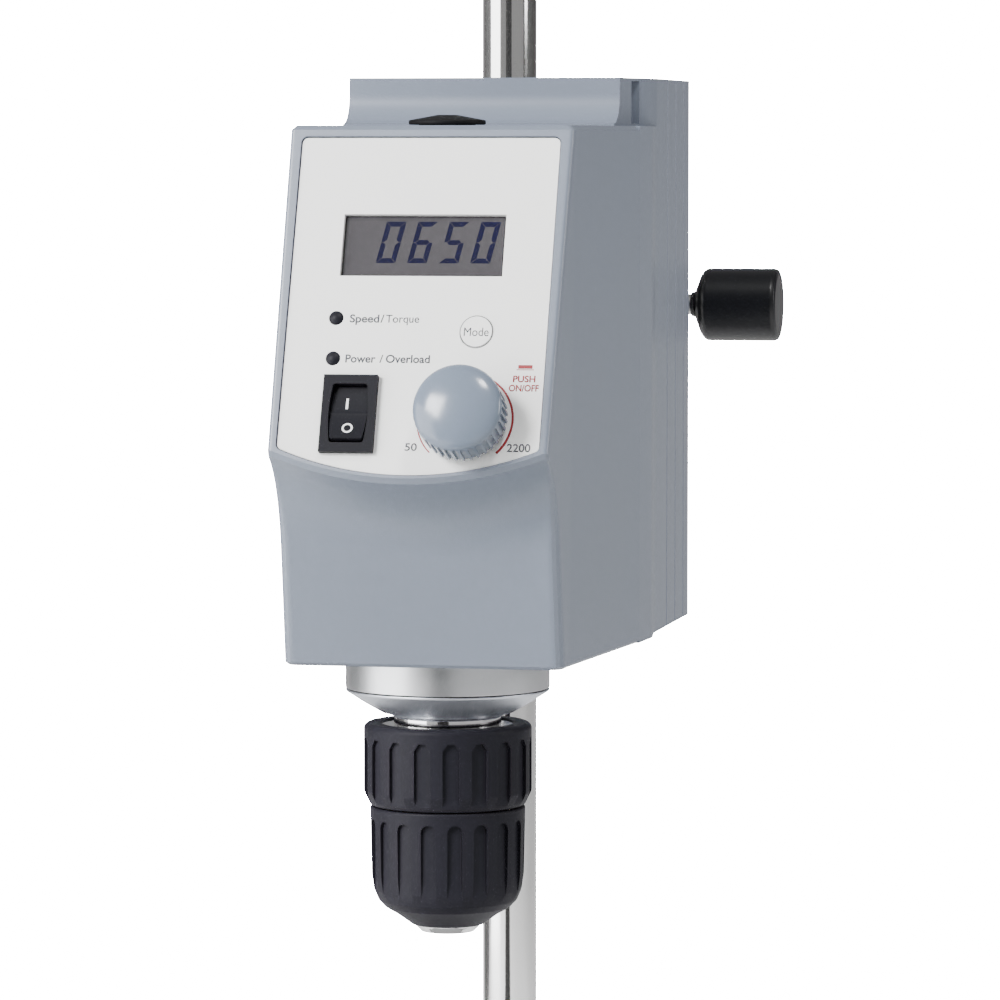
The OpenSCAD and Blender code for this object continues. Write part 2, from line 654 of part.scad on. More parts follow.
module rocker() color(jet) on_panel(switch_at[0], switch_at[1], frame_n + rocker_pivot) rotate([-rocker_tilt, 0, 0]) {
  intersection() {
    rotate([90, 0, 90]) translate([0, 0, -rocker_w / 2]) linear_extrude(rocker_w) rocker_section();
    rotate([0, 90, 0]) cylinder(r = rocker_h / 2 - 0.05, h = rocker_w + 2, center = true);
    translate([0, 0, -rocker_skirt - eps]) linear_extrude(2 * rocker_skirt) rocker_outline();
  }
  rotate([0, 90, 0]) translate([0, 0, -switch_body_w / 2 + 0.6]) cylinder(r = rocker_pin_r, h = switch_body_w - 1.2);
}

encoder_n = shell_back - 0.1;      // front face of the encoder body
knob_gap = 1.3;                    // height of the knob's skirt over the panel plate
shaft_top = plate_n + knob_gap + knob_h - 3.5;
module encoder_body() color(steel) on_panel(knob_at[0], knob_at[1], encoder_n - encoder_d) difference() {
  union() {
    translate([-encoder_w / 2, -encoder_w / 2, 0]) cube([encoder_w, encoder_w, encoder_d]);
    cylinder(r = encoder_bush_r, h = encoder_d + plate_n - encoder_n + 0.6);
  }
  translate([0, 0, 1.5]) cylinder(r = encoder_shaft_r + 1, h = 4);
  translate([0, 0, 2]) cylinder(r = encoder_shaft_r - 0.4 + run, h = 40);
}
plunger_t = 1.5;
module encoder_plunger() color(satin_silver) on_panel(knob_at[0], knob_at[1], encoder_n - encoder_d + 1.5 + push_travel + gap)
  cylinder(r = encoder_shaft_r + 1 - run, h = plunger_t);
module encoder_shaft() color(steel)
  on_panel(knob_at[0], knob_at[1], encoder_n - encoder_d + 1.5 + push_travel + gap + plunger_t + gap) {
    base = encoder_n - encoder_d + 1.5 + push_travel + gap + plunger_t + gap;
    cylinder(r = encoder_shaft_r - 0.4, h = shaft_top - base);
  }
skirt_h = knob_h * 0.7;             // fluted part of the speed knob
dome_r = knob_r - 0.5;
flute_r = 0.7;
flute_d = 0.55;
module speed_knob() color(shell_grey) on_panel(knob_at[0], knob_at[1], plate_n + knob_gap) difference() {
  rotate_extrude() polygon(concat(
    [[0, 0], [knob_r - 0.4, 0], [knob_r, 0.4], [knob_r - 0.15, skirt_h]],
    [for (a = [0 : 10 : 80]) [dome_r * cos(a), skirt_h + 0.3 + (knob_h - skirt_h - 0.3) * sin(a)]],
    [[0, knob_h]]
  ));
  for (i = [0 : knob_flutes - 1]) rotate([0, 0, 360 * i / knob_flutes])
    translate([knob_r + flute_r - flute_d, 0, -eps]) cylinder(r = flute_r, h = knob_h, $fn = 16);
  translate([0, 0, -eps]) cylinder(r = encoder_shaft_r - 0.4 + fit, h = shaft_top - plate_n - knob_gap + eps);
  translate([0, 0, -eps]) cylinder(r = encoder_bush_r + 0.8, h = 1.4 + eps);
}

// ---------------------------------------------------------------- rear fittings and electronics
inlet_flange = 2;
socket_w = 24;
socket_h = 16;
socket_d = 16;
pin_l = 14;
pin_spread = 7;                     // live and neutral pins either side of the middle
pin_drop = 2;
module power_inlet() color(jet) translate([0, rear_y, inlet_z]) {
  difference() {
    union() {
      translate([-inlet_w / 2 - 2, 0, -inlet_h / 2 - 2]) cube([inlet_w + 4, inlet_flange, inlet_h + 4]);
      translate([-inlet_w / 2, -inlet_d, -inlet_h / 2]) cube([inlet_w, inlet_d + 0.5, inlet_h]);
    }
    translate([-socket_w / 2, -socket_d, -socket_h / 2]) cube([socket_w, socket_d + inlet_flange + eps, socket_h]);
  }
  for (p = [[-pin_spread, -pin_drop], [0, pin_drop], [pin_spread, -pin_drop]])
    translate([p[0] - 1, -socket_d - eps, p[1] - 2]) cube([2, pin_l + eps, 4]);
}
module port_shell() {
  offset(r = 1) offset(delta = -1) polygon([[-8.4, 4.2], [8.4, 4.2], [7.2, -4.2], [-7.2, -4.2]]);
}
module serial_port() color(steel) translate([0, rear_y, port_z]) difference() {
  union() {
    translate([-port_w / 2 - 6, 0, -port_h / 2 - 1.5]) cube([port_w + 12, 1, port_h + 3]);
    translate([-port_w / 2, -port_d, -port_h / 2]) cube([port_w, port_d + 0.5, port_h]);
    translate([0, 6, 0]) rotate([90, 0, 0]) linear_extrude(6) port_shell();
  }
  translate([0, 6 + eps, 0]) rotate([90, 0, 0]) linear_extrude(5 + eps) offset(delta = -0.5) port_shell();
}
main_board_gap = 2.6;               // from the board to the side wall
main_board_x = rear_w / 2 - wall - main_board_gap;
main_board_y = step_end + 4;
main_board_z = wall + 16;
main_board_l = rear_y - wall - main_board_y - 7;
main_board_h = front_h - 2 * wall - 34.7;
standoff_in = 4;                    // from the board's edges to its standoffs
standoff_r = 2.5;
capacitor_r = 5;
capacitor_h = 9;
module main_board() color(board_green) translate([-main_board_x, main_board_y, main_board_z]) {
  cube([board_t, main_board_l, main_board_h]);
  for (y = [standoff_in, main_board_l - standoff_in], z = [standoff_in, main_board_h - standoff_in])
    translate([0, y, z]) rotate([0, -90, 0]) cylinder(r = standoff_r, h = main_board_gap - fit);
  translate([board_t, main_board_l * 0.14, main_board_h * 0.08]) cube([6, 12, 12]);
  for (z = [main_board_h * 0.13, main_board_h * 0.29])
    translate([board_t, main_board_l * 0.6, z]) rotate([0, 90, 0]) cylinder(r = capacitor_r, h = capacitor_h);
  translate([board_t, main_board_l * 0.18, main_board_h * 0.62]) cube([2, 24, 24]);
}

// ---------------------------------------------------------------- motor and belt
motor_z = wall + 6;
can_t = 2;
shaft_r = 4;
rotor_r = motor_r - 12.8;
slots = 9;
slot_w = 3;
slot_l = 4;                         // how deep a winding slot is
module motor_can() color(jet) translate([0, motor_y, motor_z]) difference() {
  cylinder(r = motor_r, h = motor_h);
  translate([0, 0, can_t + 1]) cylinder(r = motor_r - can_t, h = motor_h - 2 * can_t - 2);
  translate([0, 0, -eps]) cylinder(r = shaft_r + run, h = motor_h + 2 * eps);
}
module stator() color(copper_tone) translate([0, motor_y, motor_z + 8]) linear_extrude(motor_h - 16) difference() {
  circle(motor_r - can_t - fit);
  circle(rotor_r + gap);
  for (i = [0 : slots - 1]) rotate(360 * i / slots) translate([rotor_r + 2.8, -slot_w / 2]) square([slot_l, slot_w]);
}
module rotor() color(steel) translate([0, motor_y, 0]) {
  translate([0, 0, motor_z + 6]) cylinder(r = rotor_r, h = motor_h - 12);
  translate([0, 0, motor_z + 0.5]) cylinder(r = shaft_r, h = belt_z + belt_w + 3 - motor_z - 0.5);
}
tooth_pitch = 3;
tooth_d = 1.2;
function pulley_r(teeth) = teeth * tooth_pitch / 2 / PI - 0.4;
module pulley(teeth, hole_r) {
  linear_extrude(belt_w + 1) difference() {
    circle(pulley_r(teeth));
    for (i = [0 : teeth - 1]) rotate(360 * i / teeth) translate([pulley_r(teeth), 0]) circle(0.85, $fn = 12);
    circle(hole_r);
  }
  for (z = [-1.2, belt_w + 1]) translate([0, 0, z]) linear_extrude(1.2) difference() {
    circle(pulley_r(teeth) + 2.4);
    circle(hole_r);
  }
}
module drive_pulley() color(satin_silver) translate([0, motor_y, belt_z - 0.5]) pulley(motor_teeth, shaft_r + fit);
module spindle_pulley() color(satin_silver) translate([0, 0, belt_z - 0.5]) pulley(spindle_teeth, spindle_r + fit);
belt_t = 1.4;
module belt_outline(grow) hull() {
  circle(pulley_r(spindle_teeth) + grow);
  translate([0, motor_y]) circle(pulley_r(motor_teeth) + grow);
}
module drive_belt() color(jet) translate([0, 0, belt_z]) linear_extrude(belt_w) difference() {
  belt_outline(gap + belt_t);
  belt_outline(gap);
}

// ---------------------------------------------------------------- spindle and bearings
ball_r = 3;
ball_ring = (spindle_r + bearing_r) / 2;
ball_n = 9;
lower_bearing_z = 4;
module at_bearings() {
  for (z = [lower_bearing_z, upper_bearing_z]) translate([0, 0, z]) children();
}
module race(r_in, r_out) difference() {
  cylinder(r = r_out, h = bearing_w);
  translate([0, 0, -eps]) cylinder(r = r_in, h = bearing_w + 2 * eps);
  rotate_extrude() translate([ball_ring, bearing_w / 2]) circle(ball_r + 0.15, $fn = 32);
}
module bearing_outer_rings() color(steel) at_bearings() race(ball_ring + 1.4, bearing_r);
module bearing_inner_rings() color(steel) at_bearings() race(spindle_r + fit, ball_ring - 1.4);
module bearing_balls() color(satin_silver) at_bearings()
  for (i = [0 : ball_n - 1]) rotate([0, 0, 360 * i / ball_n])
    translate([ball_ring, 0, bearing_w / 2]) sphere(r = ball_r, $fn = 24);

cone_bottom = -collar_h - gap - cone_h;
hub_top = cone_bottom - 0.3;
hub_seat = hub_top - 22;            // where the spindle ends inside the chuck body
spindle_top = front_h - wall - 1.2;
module spindle() color(steel) difference() {
  translate([0, 0, hub_seat]) cylinder(r = spindle_r, h = spindle_top - hub_seat);
  translate([0, 0, hub_seat - eps]) cylinder(r = bore_r, h = spindle_top - hub_seat + 2 * eps);
}

cap_r = 9.9;
cap_rim = 1.2;
cap_rise = 1.3;
module top_cap() color(jet) {
  translate([0, 0, front_h + 0.2]) cylinder(r = cap_r, h = cap_rim);
  translate([0, 0, front_h + 0.2 + cap_rim]) cylinder(r1 = cap_r - 0.4, r2 = 2.5, h = cap_rise);
  translate([0, 0, front_h - wall + 0.2]) cylinder(r = cap_hole_r - gap, h = wall);
}

module collar() color(satin_silver) translate([0, 0, -collar_h]) difference() {
  cylinder(r = collar_r, h = collar_h);
  translate([0, 0, -eps]) cylinder(r = spindle_r + 1.5, h = collar_h + 2 * eps);
}
seal_h = gap;
module seal_ring() color(jet) translate([0, 0, -collar_h - seal_h]) difference() {
  cylinder(r = collar_r - 0.5, h = seal_h);
  translate([0, 0, -eps]) cylinder(r = spindle_r + 1.5, h = seal_h + 2 * eps);
}
module bearing_cap() color(cone_grey) translate([0, 0, cone_bottom]) rotate_extrude() polygon([
  [spindle_r + 1.5, 0], [neck_r + 0.9, 0], [neck_r + 1.2, 0.25], [neck_r + 3.3, 0.75],
  [collar_r - 4.6, cone_h * 0.5], [collar_r - 0.7, cone_h - 0.9], [collar_r - 0.1, cone_h - 0.5],
  [collar_r - 0.1, cone_h], [spindle_r + 1.5, cone_h]
]);

// ---------------------------------------------------------------- chuck
sleeve_top = hub_top - 1.8;                       // top of the rear sleeve
rear_bottom = sleeve_top - rear_sleeve_h;
front_top = rear_bottom - gap;
front_bottom = front_top - front_sleeve_h;        // mouth of the front sleeve
nose_bottom = front_bottom - 1.8;
barrel_r = 13.5;                                  // chuck body inside the front sleeve
barrel_top = front_top + 0.8;
barrel_cone = front_bottom + 13.5;                // where the body starts to narrow
mouth_r = bore_r + 0.2;
jaw_tip = nose_bottom + 11;                       // jaw tips with the chuck open
jaw_face = bore_r - 0.1;                          // radius of the gripping edges when open
jaw_axis_r = jaw_face + 1;                        // radius of a jaw's axis at its tip

// a jaw's bore or body: children stand on the jaw's axis at its open tip
module on_jaw(i) rotate([0, 0, 120 * i + 90]) translate([jaw_axis_r, 0, jaw_tip]) rotate([0, jaw_slope, 0]) children();

module chuck_body() color(steel) difference() {
  rotate_extrude() polygon([
    [0, hub_top], [neck_r - 0.3, hub_top], [neck_r, hub_top - 0.3], [neck_r, sleeve_top - 0.4],
    [hub_r, sleeve_top - 0.4], [hub_r, barrel_top], [barrel_r, barrel_top], [barrel_r, barrel_cone],
    [nose_r, front_bottom], [nose_r - 1.8, nose_bottom], [0, nose_bottom]
  ]);
  translate([0, 0, hub_seat]) cylinder(r = spindle_r + fit, h = 40);
  translate([0, 0, nose_bottom - eps]) cylinder(r = mouth_r, h = 60);
  for (i = [0 : 2]) on_jaw(i) translate([0, 0, -14]) cylinder(r = jaw_r + run, h = 14 + jaw_l + 0.6);
}
module jaw(i) color(steel) intersection() {
  on_jaw(i) cylinder(r = jaw_r, h = jaw_l);
  rotate([0, 0, 120 * i + 90]) translate([0, 0, jaw_tip - 5]) linear_extrude(jaw_l + 10) polygon([
    [jaw_face, 0.55], [jaw_face, -0.55], [jaw_face + 20, -0.55 - 20 * tan(60)], [jaw_face + 20, 0.55 + 20 * tan(60)]
  ]);
}
module jaw_1() jaw(0);
module jaw_2() jaw(1);
module jaw_3() jaw(2);

groove_cut = 2.3;                                 // radius of the tool that cuts a sleeve groove
module around(n, start = 0) {
  for (i = [0 : n - 1]) rotate([0, 0, start + 360 * i / n]) children();
}
module rear_sleeve() color(chuck_black) difference() {
  rotate_extrude() polygon([
    [hub_r + fit, rear_bottom], [front_sleeve_r - 0.1, rear_bottom], [rear_sleeve_r, rear_bottom + 3.6],
    [rear_sleeve_r, sleeve_top - 0.9], [rear_sleeve_r - 0.9, sleeve_top], [hub_r + fit, sleeve_top]
  ]);
  around(sleeve_grooves, 4) translate([rear_sleeve_r + groove_cut - 0.8, 0, rear_bottom - eps]) {
    cylinder(r = groove_cut, h = rear_sleeve_h - 4.8 - 3 + eps, $fn = 32);
    translate([0, 0, rear_sleeve_h - 4.8 - 3 + eps]) cylinder(r1 = groove_cut, r2 = 0.2, h = 3.6, $fn = 32);
  }
}
sleeve_wall = 1.8;
module front_sleeve() color(chuck_black) difference() {
  rotate_extrude() polygon([
    [front_sleeve_r - sleeve_wall, front_top], [front_sleeve_r - 0.3, front_top], [front_sleeve_r, front_top - 0.3],
    [front_sleeve_r - 0.35, front_top - 17.6], [front_sleeve_r - 0.9, front_top - 21.5],
    [front_sleeve_r - 2.1, front_top - 24.4], [front_sleeve_r - 3.8, front_top - 26.2],
    [nose_r + 4.2, front_top - 28.2], [nose_r + 0.45, front_bottom], [nose_r + 0.45, front_bottom + 0.8],
    [barrel_r + 0.7, barrel_cone], [front_sleeve_r - sleeve_wall, barrel_cone + 4]
  ]);
  around(sleeve_grooves, 7) translate([front_sleeve_r + groove_cut - 1.1, 0, front_top - 22.8]) {
    cylinder(r = groove_cut, h = 22.8 - 3 - groove_cut * 0.8, $fn = 32);
    translate([0, 0, 22.8 - 3 - groove_cut * 0.8]) sphere(r = groove_cut, $fn = 32);
  }
}
nut_h = 8;
module jaw_nut() color(brass_tone) translate([0, 0, front_top - 1 - nut_h]) difference() {
  cylinder(r = front_sleeve_r - sleeve_wall - fit, h = nut_h);
  translate([0, 0, -eps]) cylinder(r = barrel_r + 2, h = nut_h + 2 * eps);
}

// ---------------------------------------------------------------- stand rod and boss head
module stand_rod() color(steel) translate([rod_x, rod_y, 0]) {
  translate([0, 0, -rod_foot]) cylinder(r = rod_r, h = rod_foot + rod_top - 1.5);
  translate([0, 0, rod_top - 1.5]) cylinder(r1 = rod_r, r2 = rod_r - 1.5, h = 1.5);
  translate([0, 0, -rod_foot - stud_l]) cylinder(r = stud_r, h = stud_l);
}

web_left = rod_x + rod_r - 1.6;       // the rod lies 1.6 into the web
web_right = -arm_r + 1.6;             // the arm lies 1.6 into the web
slot = 3;                             // room round the arm and the rod inside their hooks
rod_leg = rod_x - rod_r - slot;       // inner face of the leg beyond the rod
arm_leg = arm_r + slot;               // inner face of the leg beyond the arm
module rod_hook() linear_extrude(boss_l) difference() {
  offset(r = 3) offset(delta = -3) translate([rod_leg - boss_t, rod_y - boss_l / 2])
    square([web_right - rod_leg + boss_t, boss_l]);
  translate([rod_leg, rod_y - boss_l / 2 - eps]) square([web_left - rod_leg, boss_l / 2 + rod_r + slot * 0.4 + eps]);
}
module arm_hook() rotate([90, 0, 0]) linear_extrude(boss_l) difference() {
  offset(r = 3) offset(delta = -3) translate([web_left, arm_z - boss_l / 2])
    square([arm_leg + boss_t - web_left, boss_l]);
  translate([web_right, arm_z - arm_r - slot * 0.4]) square([arm_leg - web_right, boss_l]);
}
module boss_head() color(jet) difference() {
  union() {
    translate([0, 0, arm_z - boss_l / 2]) rod_hook();
    translate([0, rod_y + boss_l / 2, 0]) arm_hook();
  }
  translate([rod_x, rod_y, arm_z - boss_l]) cylinder(r = rod_r + run, h = 2 * boss_l);
  translate([0, rod_y - boss_l, arm_z]) rotate([-90, 0, 0]) cylinder(r = arm_r + run, h = 2 * boss_l);
  translate([0, rod_y, arm_z]) rotate([0, 90, 0]) cylinder(r = screw_r + run, h = arm_leg + boss_t + eps);
  translate([rod_x, rod_y, arm_z]) rotate([0, -90, 0]) cylinder(r = screw_r + run, h = -rod_x - rod_leg + boss_t);
}

// a clamp screw and knob along +Z, from the screw's tip
function arm_screw_l() = arm_leg + boss_t + screw_gap - arm_r - gap;
function rod_screw_l() = rod_x - rod_r - gap - (rod_leg - boss_t - screw_gap);
knob_hold = 12;
module clamp_screw(l) cylinder(r = screw_r, h = l + knob_hold);
module clamp_knob(l) translate([0, 0, l]) difference() {
  rotate_extrude() polygon([
    [0, 0], [screw_r + 0.5, 0], [screw_r + 0.8, 1.2], [clamp_knob_r - 1.9, 3.1], [clamp_knob_r - 0.8, 3.9],
    [clamp_knob_r - 0.2, 4.6], [clamp_knob_r, 5.3], [clamp_knob_r, clamp_knob_l - 1.4],
    [clamp_knob_r - 0.4, clamp_knob_l - 0.4], [clamp_knob_r - 1.4, clamp_knob_l], [0, clamp_knob_l]
  ]);
  translate([0, 0, -eps]) cylinder(r = screw_r + fit, h = knob_hold + eps + 0.2);
}
module arm_screw_place() translate([arm_r + gap, rod_y, arm_z]) rotate([0, 90, 0]) children();
module rod_screw_place() translate([rod_x - rod_r - gap, rod_y, arm_z]) rotate([0, -90, 0]) children();
module arm_clamp_screw() color(steel) arm_screw_place() clamp_screw(arm_screw_l());
module arm_clamp_knob() color(jet) arm_screw_place() clamp_knob(arm_screw_l());
module rod_clamp_screw() color(steel) rod_screw_place() clamp_screw(rod_screw_l());
module rod_clamp_knob() color(jet) rod_screw_place() clamp_knob(rod_screw_l());

stand_rod();
boss_head();
arm_clamp_screw();
arm_clamp_knob();
rod_clamp_screw();
rod_clamp_knob();
support_arm();
arm_socket();
socket_screws();
arm_lock_screw();
front_housing();
rear_housing();
housing_screws();
chassis();
control_panel();
display_window();
display_module();
display_board();
mode_lamp();
power_lamp();
mode_switch();
mode_button();
rocker_frame();
rocker();
encoder_body();
encoder_plunger();
encoder_shaft();
speed_knob();
power_inlet();
serial_port();
main_board();
motor_can();
stator();
rotor();
drive_pulley();
spindle_pulley();
drive_belt();
bearing_outer_rings();
bearing_balls();
bearing_inner_rings();
spindle();
top_cap();
collar();
seal_ring();
bearing_cap();
chuck_body();
rear_sleeve();
front_sleeve();
jaw_nut();
jaw_1();
jaw_2();
jaw_3();
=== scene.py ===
# %% [markdown]
# # Dressing an overhead stirrer
# A laboratory stirrer hangs from a rod: a painted housing with a tilted control panel, a keyless chuck below it
# and a clamp behind. The solids are already there, as a fixed frame. This lesson gives them their looks: soft
# edges, printed words, display digits, finishes, light and a camera.

# %% Load the frame
import bpy
import math
from mathutils import Matrix, Vector


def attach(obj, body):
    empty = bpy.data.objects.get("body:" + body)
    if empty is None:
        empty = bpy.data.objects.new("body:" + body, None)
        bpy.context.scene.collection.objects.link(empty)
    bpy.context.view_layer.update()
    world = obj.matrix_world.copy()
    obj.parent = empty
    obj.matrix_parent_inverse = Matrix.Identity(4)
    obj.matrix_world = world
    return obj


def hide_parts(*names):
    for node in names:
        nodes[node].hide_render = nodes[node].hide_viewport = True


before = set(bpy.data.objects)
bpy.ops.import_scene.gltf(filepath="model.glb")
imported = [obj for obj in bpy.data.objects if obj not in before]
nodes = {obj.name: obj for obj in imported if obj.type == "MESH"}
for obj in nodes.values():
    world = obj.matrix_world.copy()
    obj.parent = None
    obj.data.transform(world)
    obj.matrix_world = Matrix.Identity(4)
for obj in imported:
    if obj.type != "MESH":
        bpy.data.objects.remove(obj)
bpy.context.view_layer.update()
MM = 0.001
print("nodes in the frame:", len(nodes))

# %% [markdown]
# An operator works on whatever is selected, so every step starts from an empty selection. These small helpers
# pick one object, open it for editing, add a modifier and apply it, and settle a finished piece at the origin with
# its place in its mesh. The last one gives a piece its finish and the body that it moves with, and hides the
# frame's nodes whose place it takes.

# %% Small helpers for selecting and finishing
def deselect():
    bpy.ops.object.select_all(action="DESELECT")


def pick(obj):
    deselect()
    obj.hide_set(False)
    obj.select_set(True)
    bpy.context.view_layer.objects.active = obj


def settle(obj):
    pick(obj)
    bpy.ops.object.transform_apply(location=True, rotation=True, scale=True)


def in_edit(obj, action):
    pick(obj)
    bpy.ops.object.mode_set(mode="EDIT")
    action()
    bpy.ops.object.mode_set(mode="OBJECT")


def select_everything():
    bpy.ops.mesh.select_all(action="SELECT")


def face_outward():
    select_everything()
    bpy.ops.mesh.normals_make_consistent(inside=False)


def apply_modifier(obj, kind, **settings):
    pick(obj)
    bpy.ops.object.modifier_add(type=kind)
    modifier = obj.modifiers[-1]
    for name, value in settings.items():
        setattr(modifier, name, value)
    bpy.ops.object.modifier_apply(modifier=modifier.name)


def smooth(obj, degrees=32):
    pick(obj)
    bpy.ops.object.shade_smooth_by_angle(angle=math.radians(degrees))
    apply_modifier(obj, "WEIGHTED_NORMAL", keep_sharp=True)


def bevel(obj, width_mm, segments=3, degrees=28):
    apply_modifier(obj, "BEVEL", width=width_mm * MM, segments=segments, limit_method="ANGLE",
                   angle_limit=math.radians(degrees), use_clamp_overlap=True, harden_normals=False)


def finish_piece(obj, body, material, replaces=()):
    settle(obj)
    obj.data.materials.clear()
    obj.data.materials.append(material)
    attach(obj, body)
    if replaces:
        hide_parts(*replaces)
    return obj


# %% [markdown]
# The frame's meshes are loose triangles, exact but sharp. A copy of one can be joined up into whole faces, and then
# its edges can be rounded the way paint or a mould rounds them. The frame's own mesh is never touched.

# %% Copy a node's mesh, joined up, with rounded edges
SAME_POINT = 0.004 * MM
SAME_PLANE = math.radians(0.6)


def copy_of(node, name, round_mm, segments, degrees):
    piece = bpy.data.objects.new(name, nodes[node].data.copy())
    bpy.context.scene.collection.objects.link(piece)

    def join():
        select_everything()
        bpy.ops.mesh.remove_doubles(threshold=SAME_POINT)
        bpy.ops.mesh.dissolve_limited(angle_limit=SAME_PLANE)

    in_edit(piece, join)
    bevel(piece, round_mm, segments, degrees)
    smooth(piece)
    print(name, "has", len(piece.data.polygons), "faces")
    return piece


# %% [markdown]
# The camera stands a little to the right of the panel, level with the top of the housing, and looks slightly down
# through a long lens, so that upright edges stay almost parallel.

# %% Camera
EYE = Vector((275.1, -1319.8, 132.1)) * MM
TURN = 11.2
PITCH = 3.89
deselect()
bpy.ops.object.camera_add(location=EYE, rotation=(math.radians(90 - PITCH), 0, math.radians(TURN)))
camera = bpy.context.object
camera.name = "camera"
camera.data.lens = 188.75
camera.data.sensor_width = 36
camera.data.clip_end = 50
bpy.context.scene.camera = camera
print("the camera stands", round(EYE.length, 2), "m from the origin")

# %% [markdown]
# The floor and the sky are both pale. In a real studio a paper sweep hides the line between them. Here they share
# one trick instead: they look pure white to the camera, but light the stirrer only softly, so no horizon shows from
# any side. The floor is large, because the camera may walk all the way round.

# %% Floor and sky
FLOOR_Z = -0.34
FLOOR_SIZE = 80
SEEN_WHITE = 40.0
FLOOR_LIGHT = 0.25
SKY_LIGHT = 0.3


def white_to_camera(tree, light, socket):
    rays = tree.nodes.new("ShaderNodeLightPath")
    glow = tree.nodes.new("ShaderNodeMapRange")
    glow.inputs["To Min"].default_value = light
    glow.inputs["To Max"].default_value = SEEN_WHITE
    tree.links.new(rays.outputs["Is Camera Ray"], glow.inputs["Value"])
    tree.links.new(glow.outputs["Result"], socket)


deselect()
bpy.ops.mesh.primitive_plane_add(size=FLOOR_SIZE, location=(0, 0, FLOOR_Z))
floor = bpy.context.object
floor.name = "pale_floor"
settle(floor)
pale = bpy.data.materials.new("pale_backdrop")
pale.use_nodes = True
shader = pale.node_tree.nodes["Principled BSDF"]
shader.inputs["Base Color"].default_value = (0.92, 0.92, 0.92, 1)
shader.inputs["Roughness"].default_value = 0.9
shader.inputs["Emission Color"].default_value = (1, 1, 1, 1)
white_to_camera(pale.node_tree, FLOOR_LIGHT, shader.inputs["Emission Strength"])
floor.data.materials.append(pale)

world = bpy.data.worlds.new("pale_sky")
world.use_nodes = True
background = world.node_tree.nodes["Background"]
background.inputs["Color"].default_value = (1, 1, 1, 1)
white_to_camera(world.node_tree, SKY_LIGHT, background.inputs["Strength"])
bpy.context.scene.world = world
print("the floor lies", FLOOR_Z, "m below the origin")

# %% [markdown]
# Three square lamps light the stirrer: a wide one from the left, a small bright one high on the right, and a weak
# one that lifts the right side. A large lamp gives soft edges to the shadows, and a small one a crisp highlight.

# %% Lamps
AIM = (0, 0, 0.05)


def soft_lamp(name, place, size, power):
    deselect()
    bpy.ops.object.light_add(type="AREA", location=place)
    lamp = bpy.context.object
    lamp.name = name
    lamp.data.shape = "RECTANGLE"
    lamp.data.size = size
    lamp.data.size_y = size
    lamp.data.energy = power
    lamp.rotation_euler = (Vector(AIM) - Vector(place)).to_track_quat("-Z", "Y").to_euler()


soft_lamp("key_left", (-0.95, -1.25, 1.05), 0.6, 58)
soft_lamp("high_right", (0.42, -0.6, 1.45), 0.28, 14)
soft_lamp("side_right", (1.3, 0.15, 0.45), 0.5, 6.5)

# %% [markdown]
# Polished steel only looks like steel when it has something to mirror. A white card on the left gives the rod its
# bright stripe, and dark cards on the right, by the camera and on the floor give it dark ones. A small grey card
# under the chuck keeps the cone and the nose from mirroring a white floor. The cards are hidden from the camera, so
# that they don't stand in the way when it walks round.

# %% Cards
CARD_LIFT = 0.04
ON_FLOOR = FLOOR_Z + CARD_LIFT


def card(name, place, aim, width, height, grey, glow=0.0):
    deselect()
    bpy.ops.mesh.primitive_plane_add(size=1, location=place)
    board = bpy.context.object
    board.name = name
    board.scale = (width, height, 1)
    board.rotation_euler = (Vector(aim) - Vector(place)).to_track_quat("Z", "Y").to_euler()
    coating = bpy.data.materials.new(name + "_grey")
    coating.use_nodes = True
    surface = coating.node_tree.nodes["Principled BSDF"]
    surface.inputs["Base Color"].default_value = (grey, grey, grey, 1)
    surface.inputs["Roughness"].default_value = 0.8
    surface.inputs["Emission Color"].default_value = (1, 1, 1, 1)
    surface.inputs["Emission Strength"].default_value = glow
    board.data.materials.append(coating)
    settle(board)
    board.visible_camera = False
    print(name, "is", width, "by", height, "m")


card("white_card_left", (-1.25, -0.75, 0.15), (0, 0.1, 0.1), 1.3, 1.3, 0.8, 5.5)
card("dark_card_far_left", (-1.2, 0.5, 0.2), (0, 0.1, 0.1), 0.8, 1.6, 0.12)
card("dark_card_right", (1.19, 0.67, 0.8), (-0.02, 0.2, 0.8), 2.2, 1.4, 0.05)
card("dark_card_camera", (0.194, -1.535, 0.66), (-0.02, 0.2, 0.66), 0.74, 1.08, 0.02)
card("dark_card_low", (0.056, -1.546, -0.105), (-0.02, 0.2, -0.105), 0.66, 0.44, 0.01)
card("dark_card_floor", (0.027, -0.95, ON_FLOOR), (0.027, -0.95, 1), 0.44, 1.15, 0.01)
card("grey_card_under", (0, -0.02, ON_FLOOR), (0, -0.02, 1), 0.3, 0.25, 0.3)

# %% [markdown]
# Several finishes share the same small effects. A fine grain gives paint and plastic their tooth, a slow mottle
# keeps a surface from being one flat colour, and rings follow the lathe round turned metal. Each effect is a node
# group with named sockets, built once and placed in each material with its own values. These three functions build
# a group and the nodes inside it.

# %% Functions that build shader groups
def shader_group(name, inputs, outputs):
    tree = bpy.data.node_groups.new(name, "ShaderNodeTree")
    for label, default in inputs:
        socket = tree.interface.new_socket(name=label, in_out="INPUT", socket_type="NodeSocketFloat")
        socket.default_value = default
    for label in outputs:
        tree.interface.new_socket(name=label, in_out="OUTPUT", socket_type="NodeSocketFloat")
    return tree, tree.nodes.new("NodeGroupInput"), tree.nodes.new("NodeGroupOutput")


def math_node(tree, operation, a, b=None):
    node = tree.nodes.new("ShaderNodeMath")
    node.operation = operation
    for index, value in enumerate([a, b]):
        if value is None:
            continue
        if isinstance(value, (int, float)):
            node.inputs[index].default_value = value
        else:
            tree.links.new(value, node.inputs[index])
    return node.outputs[0]


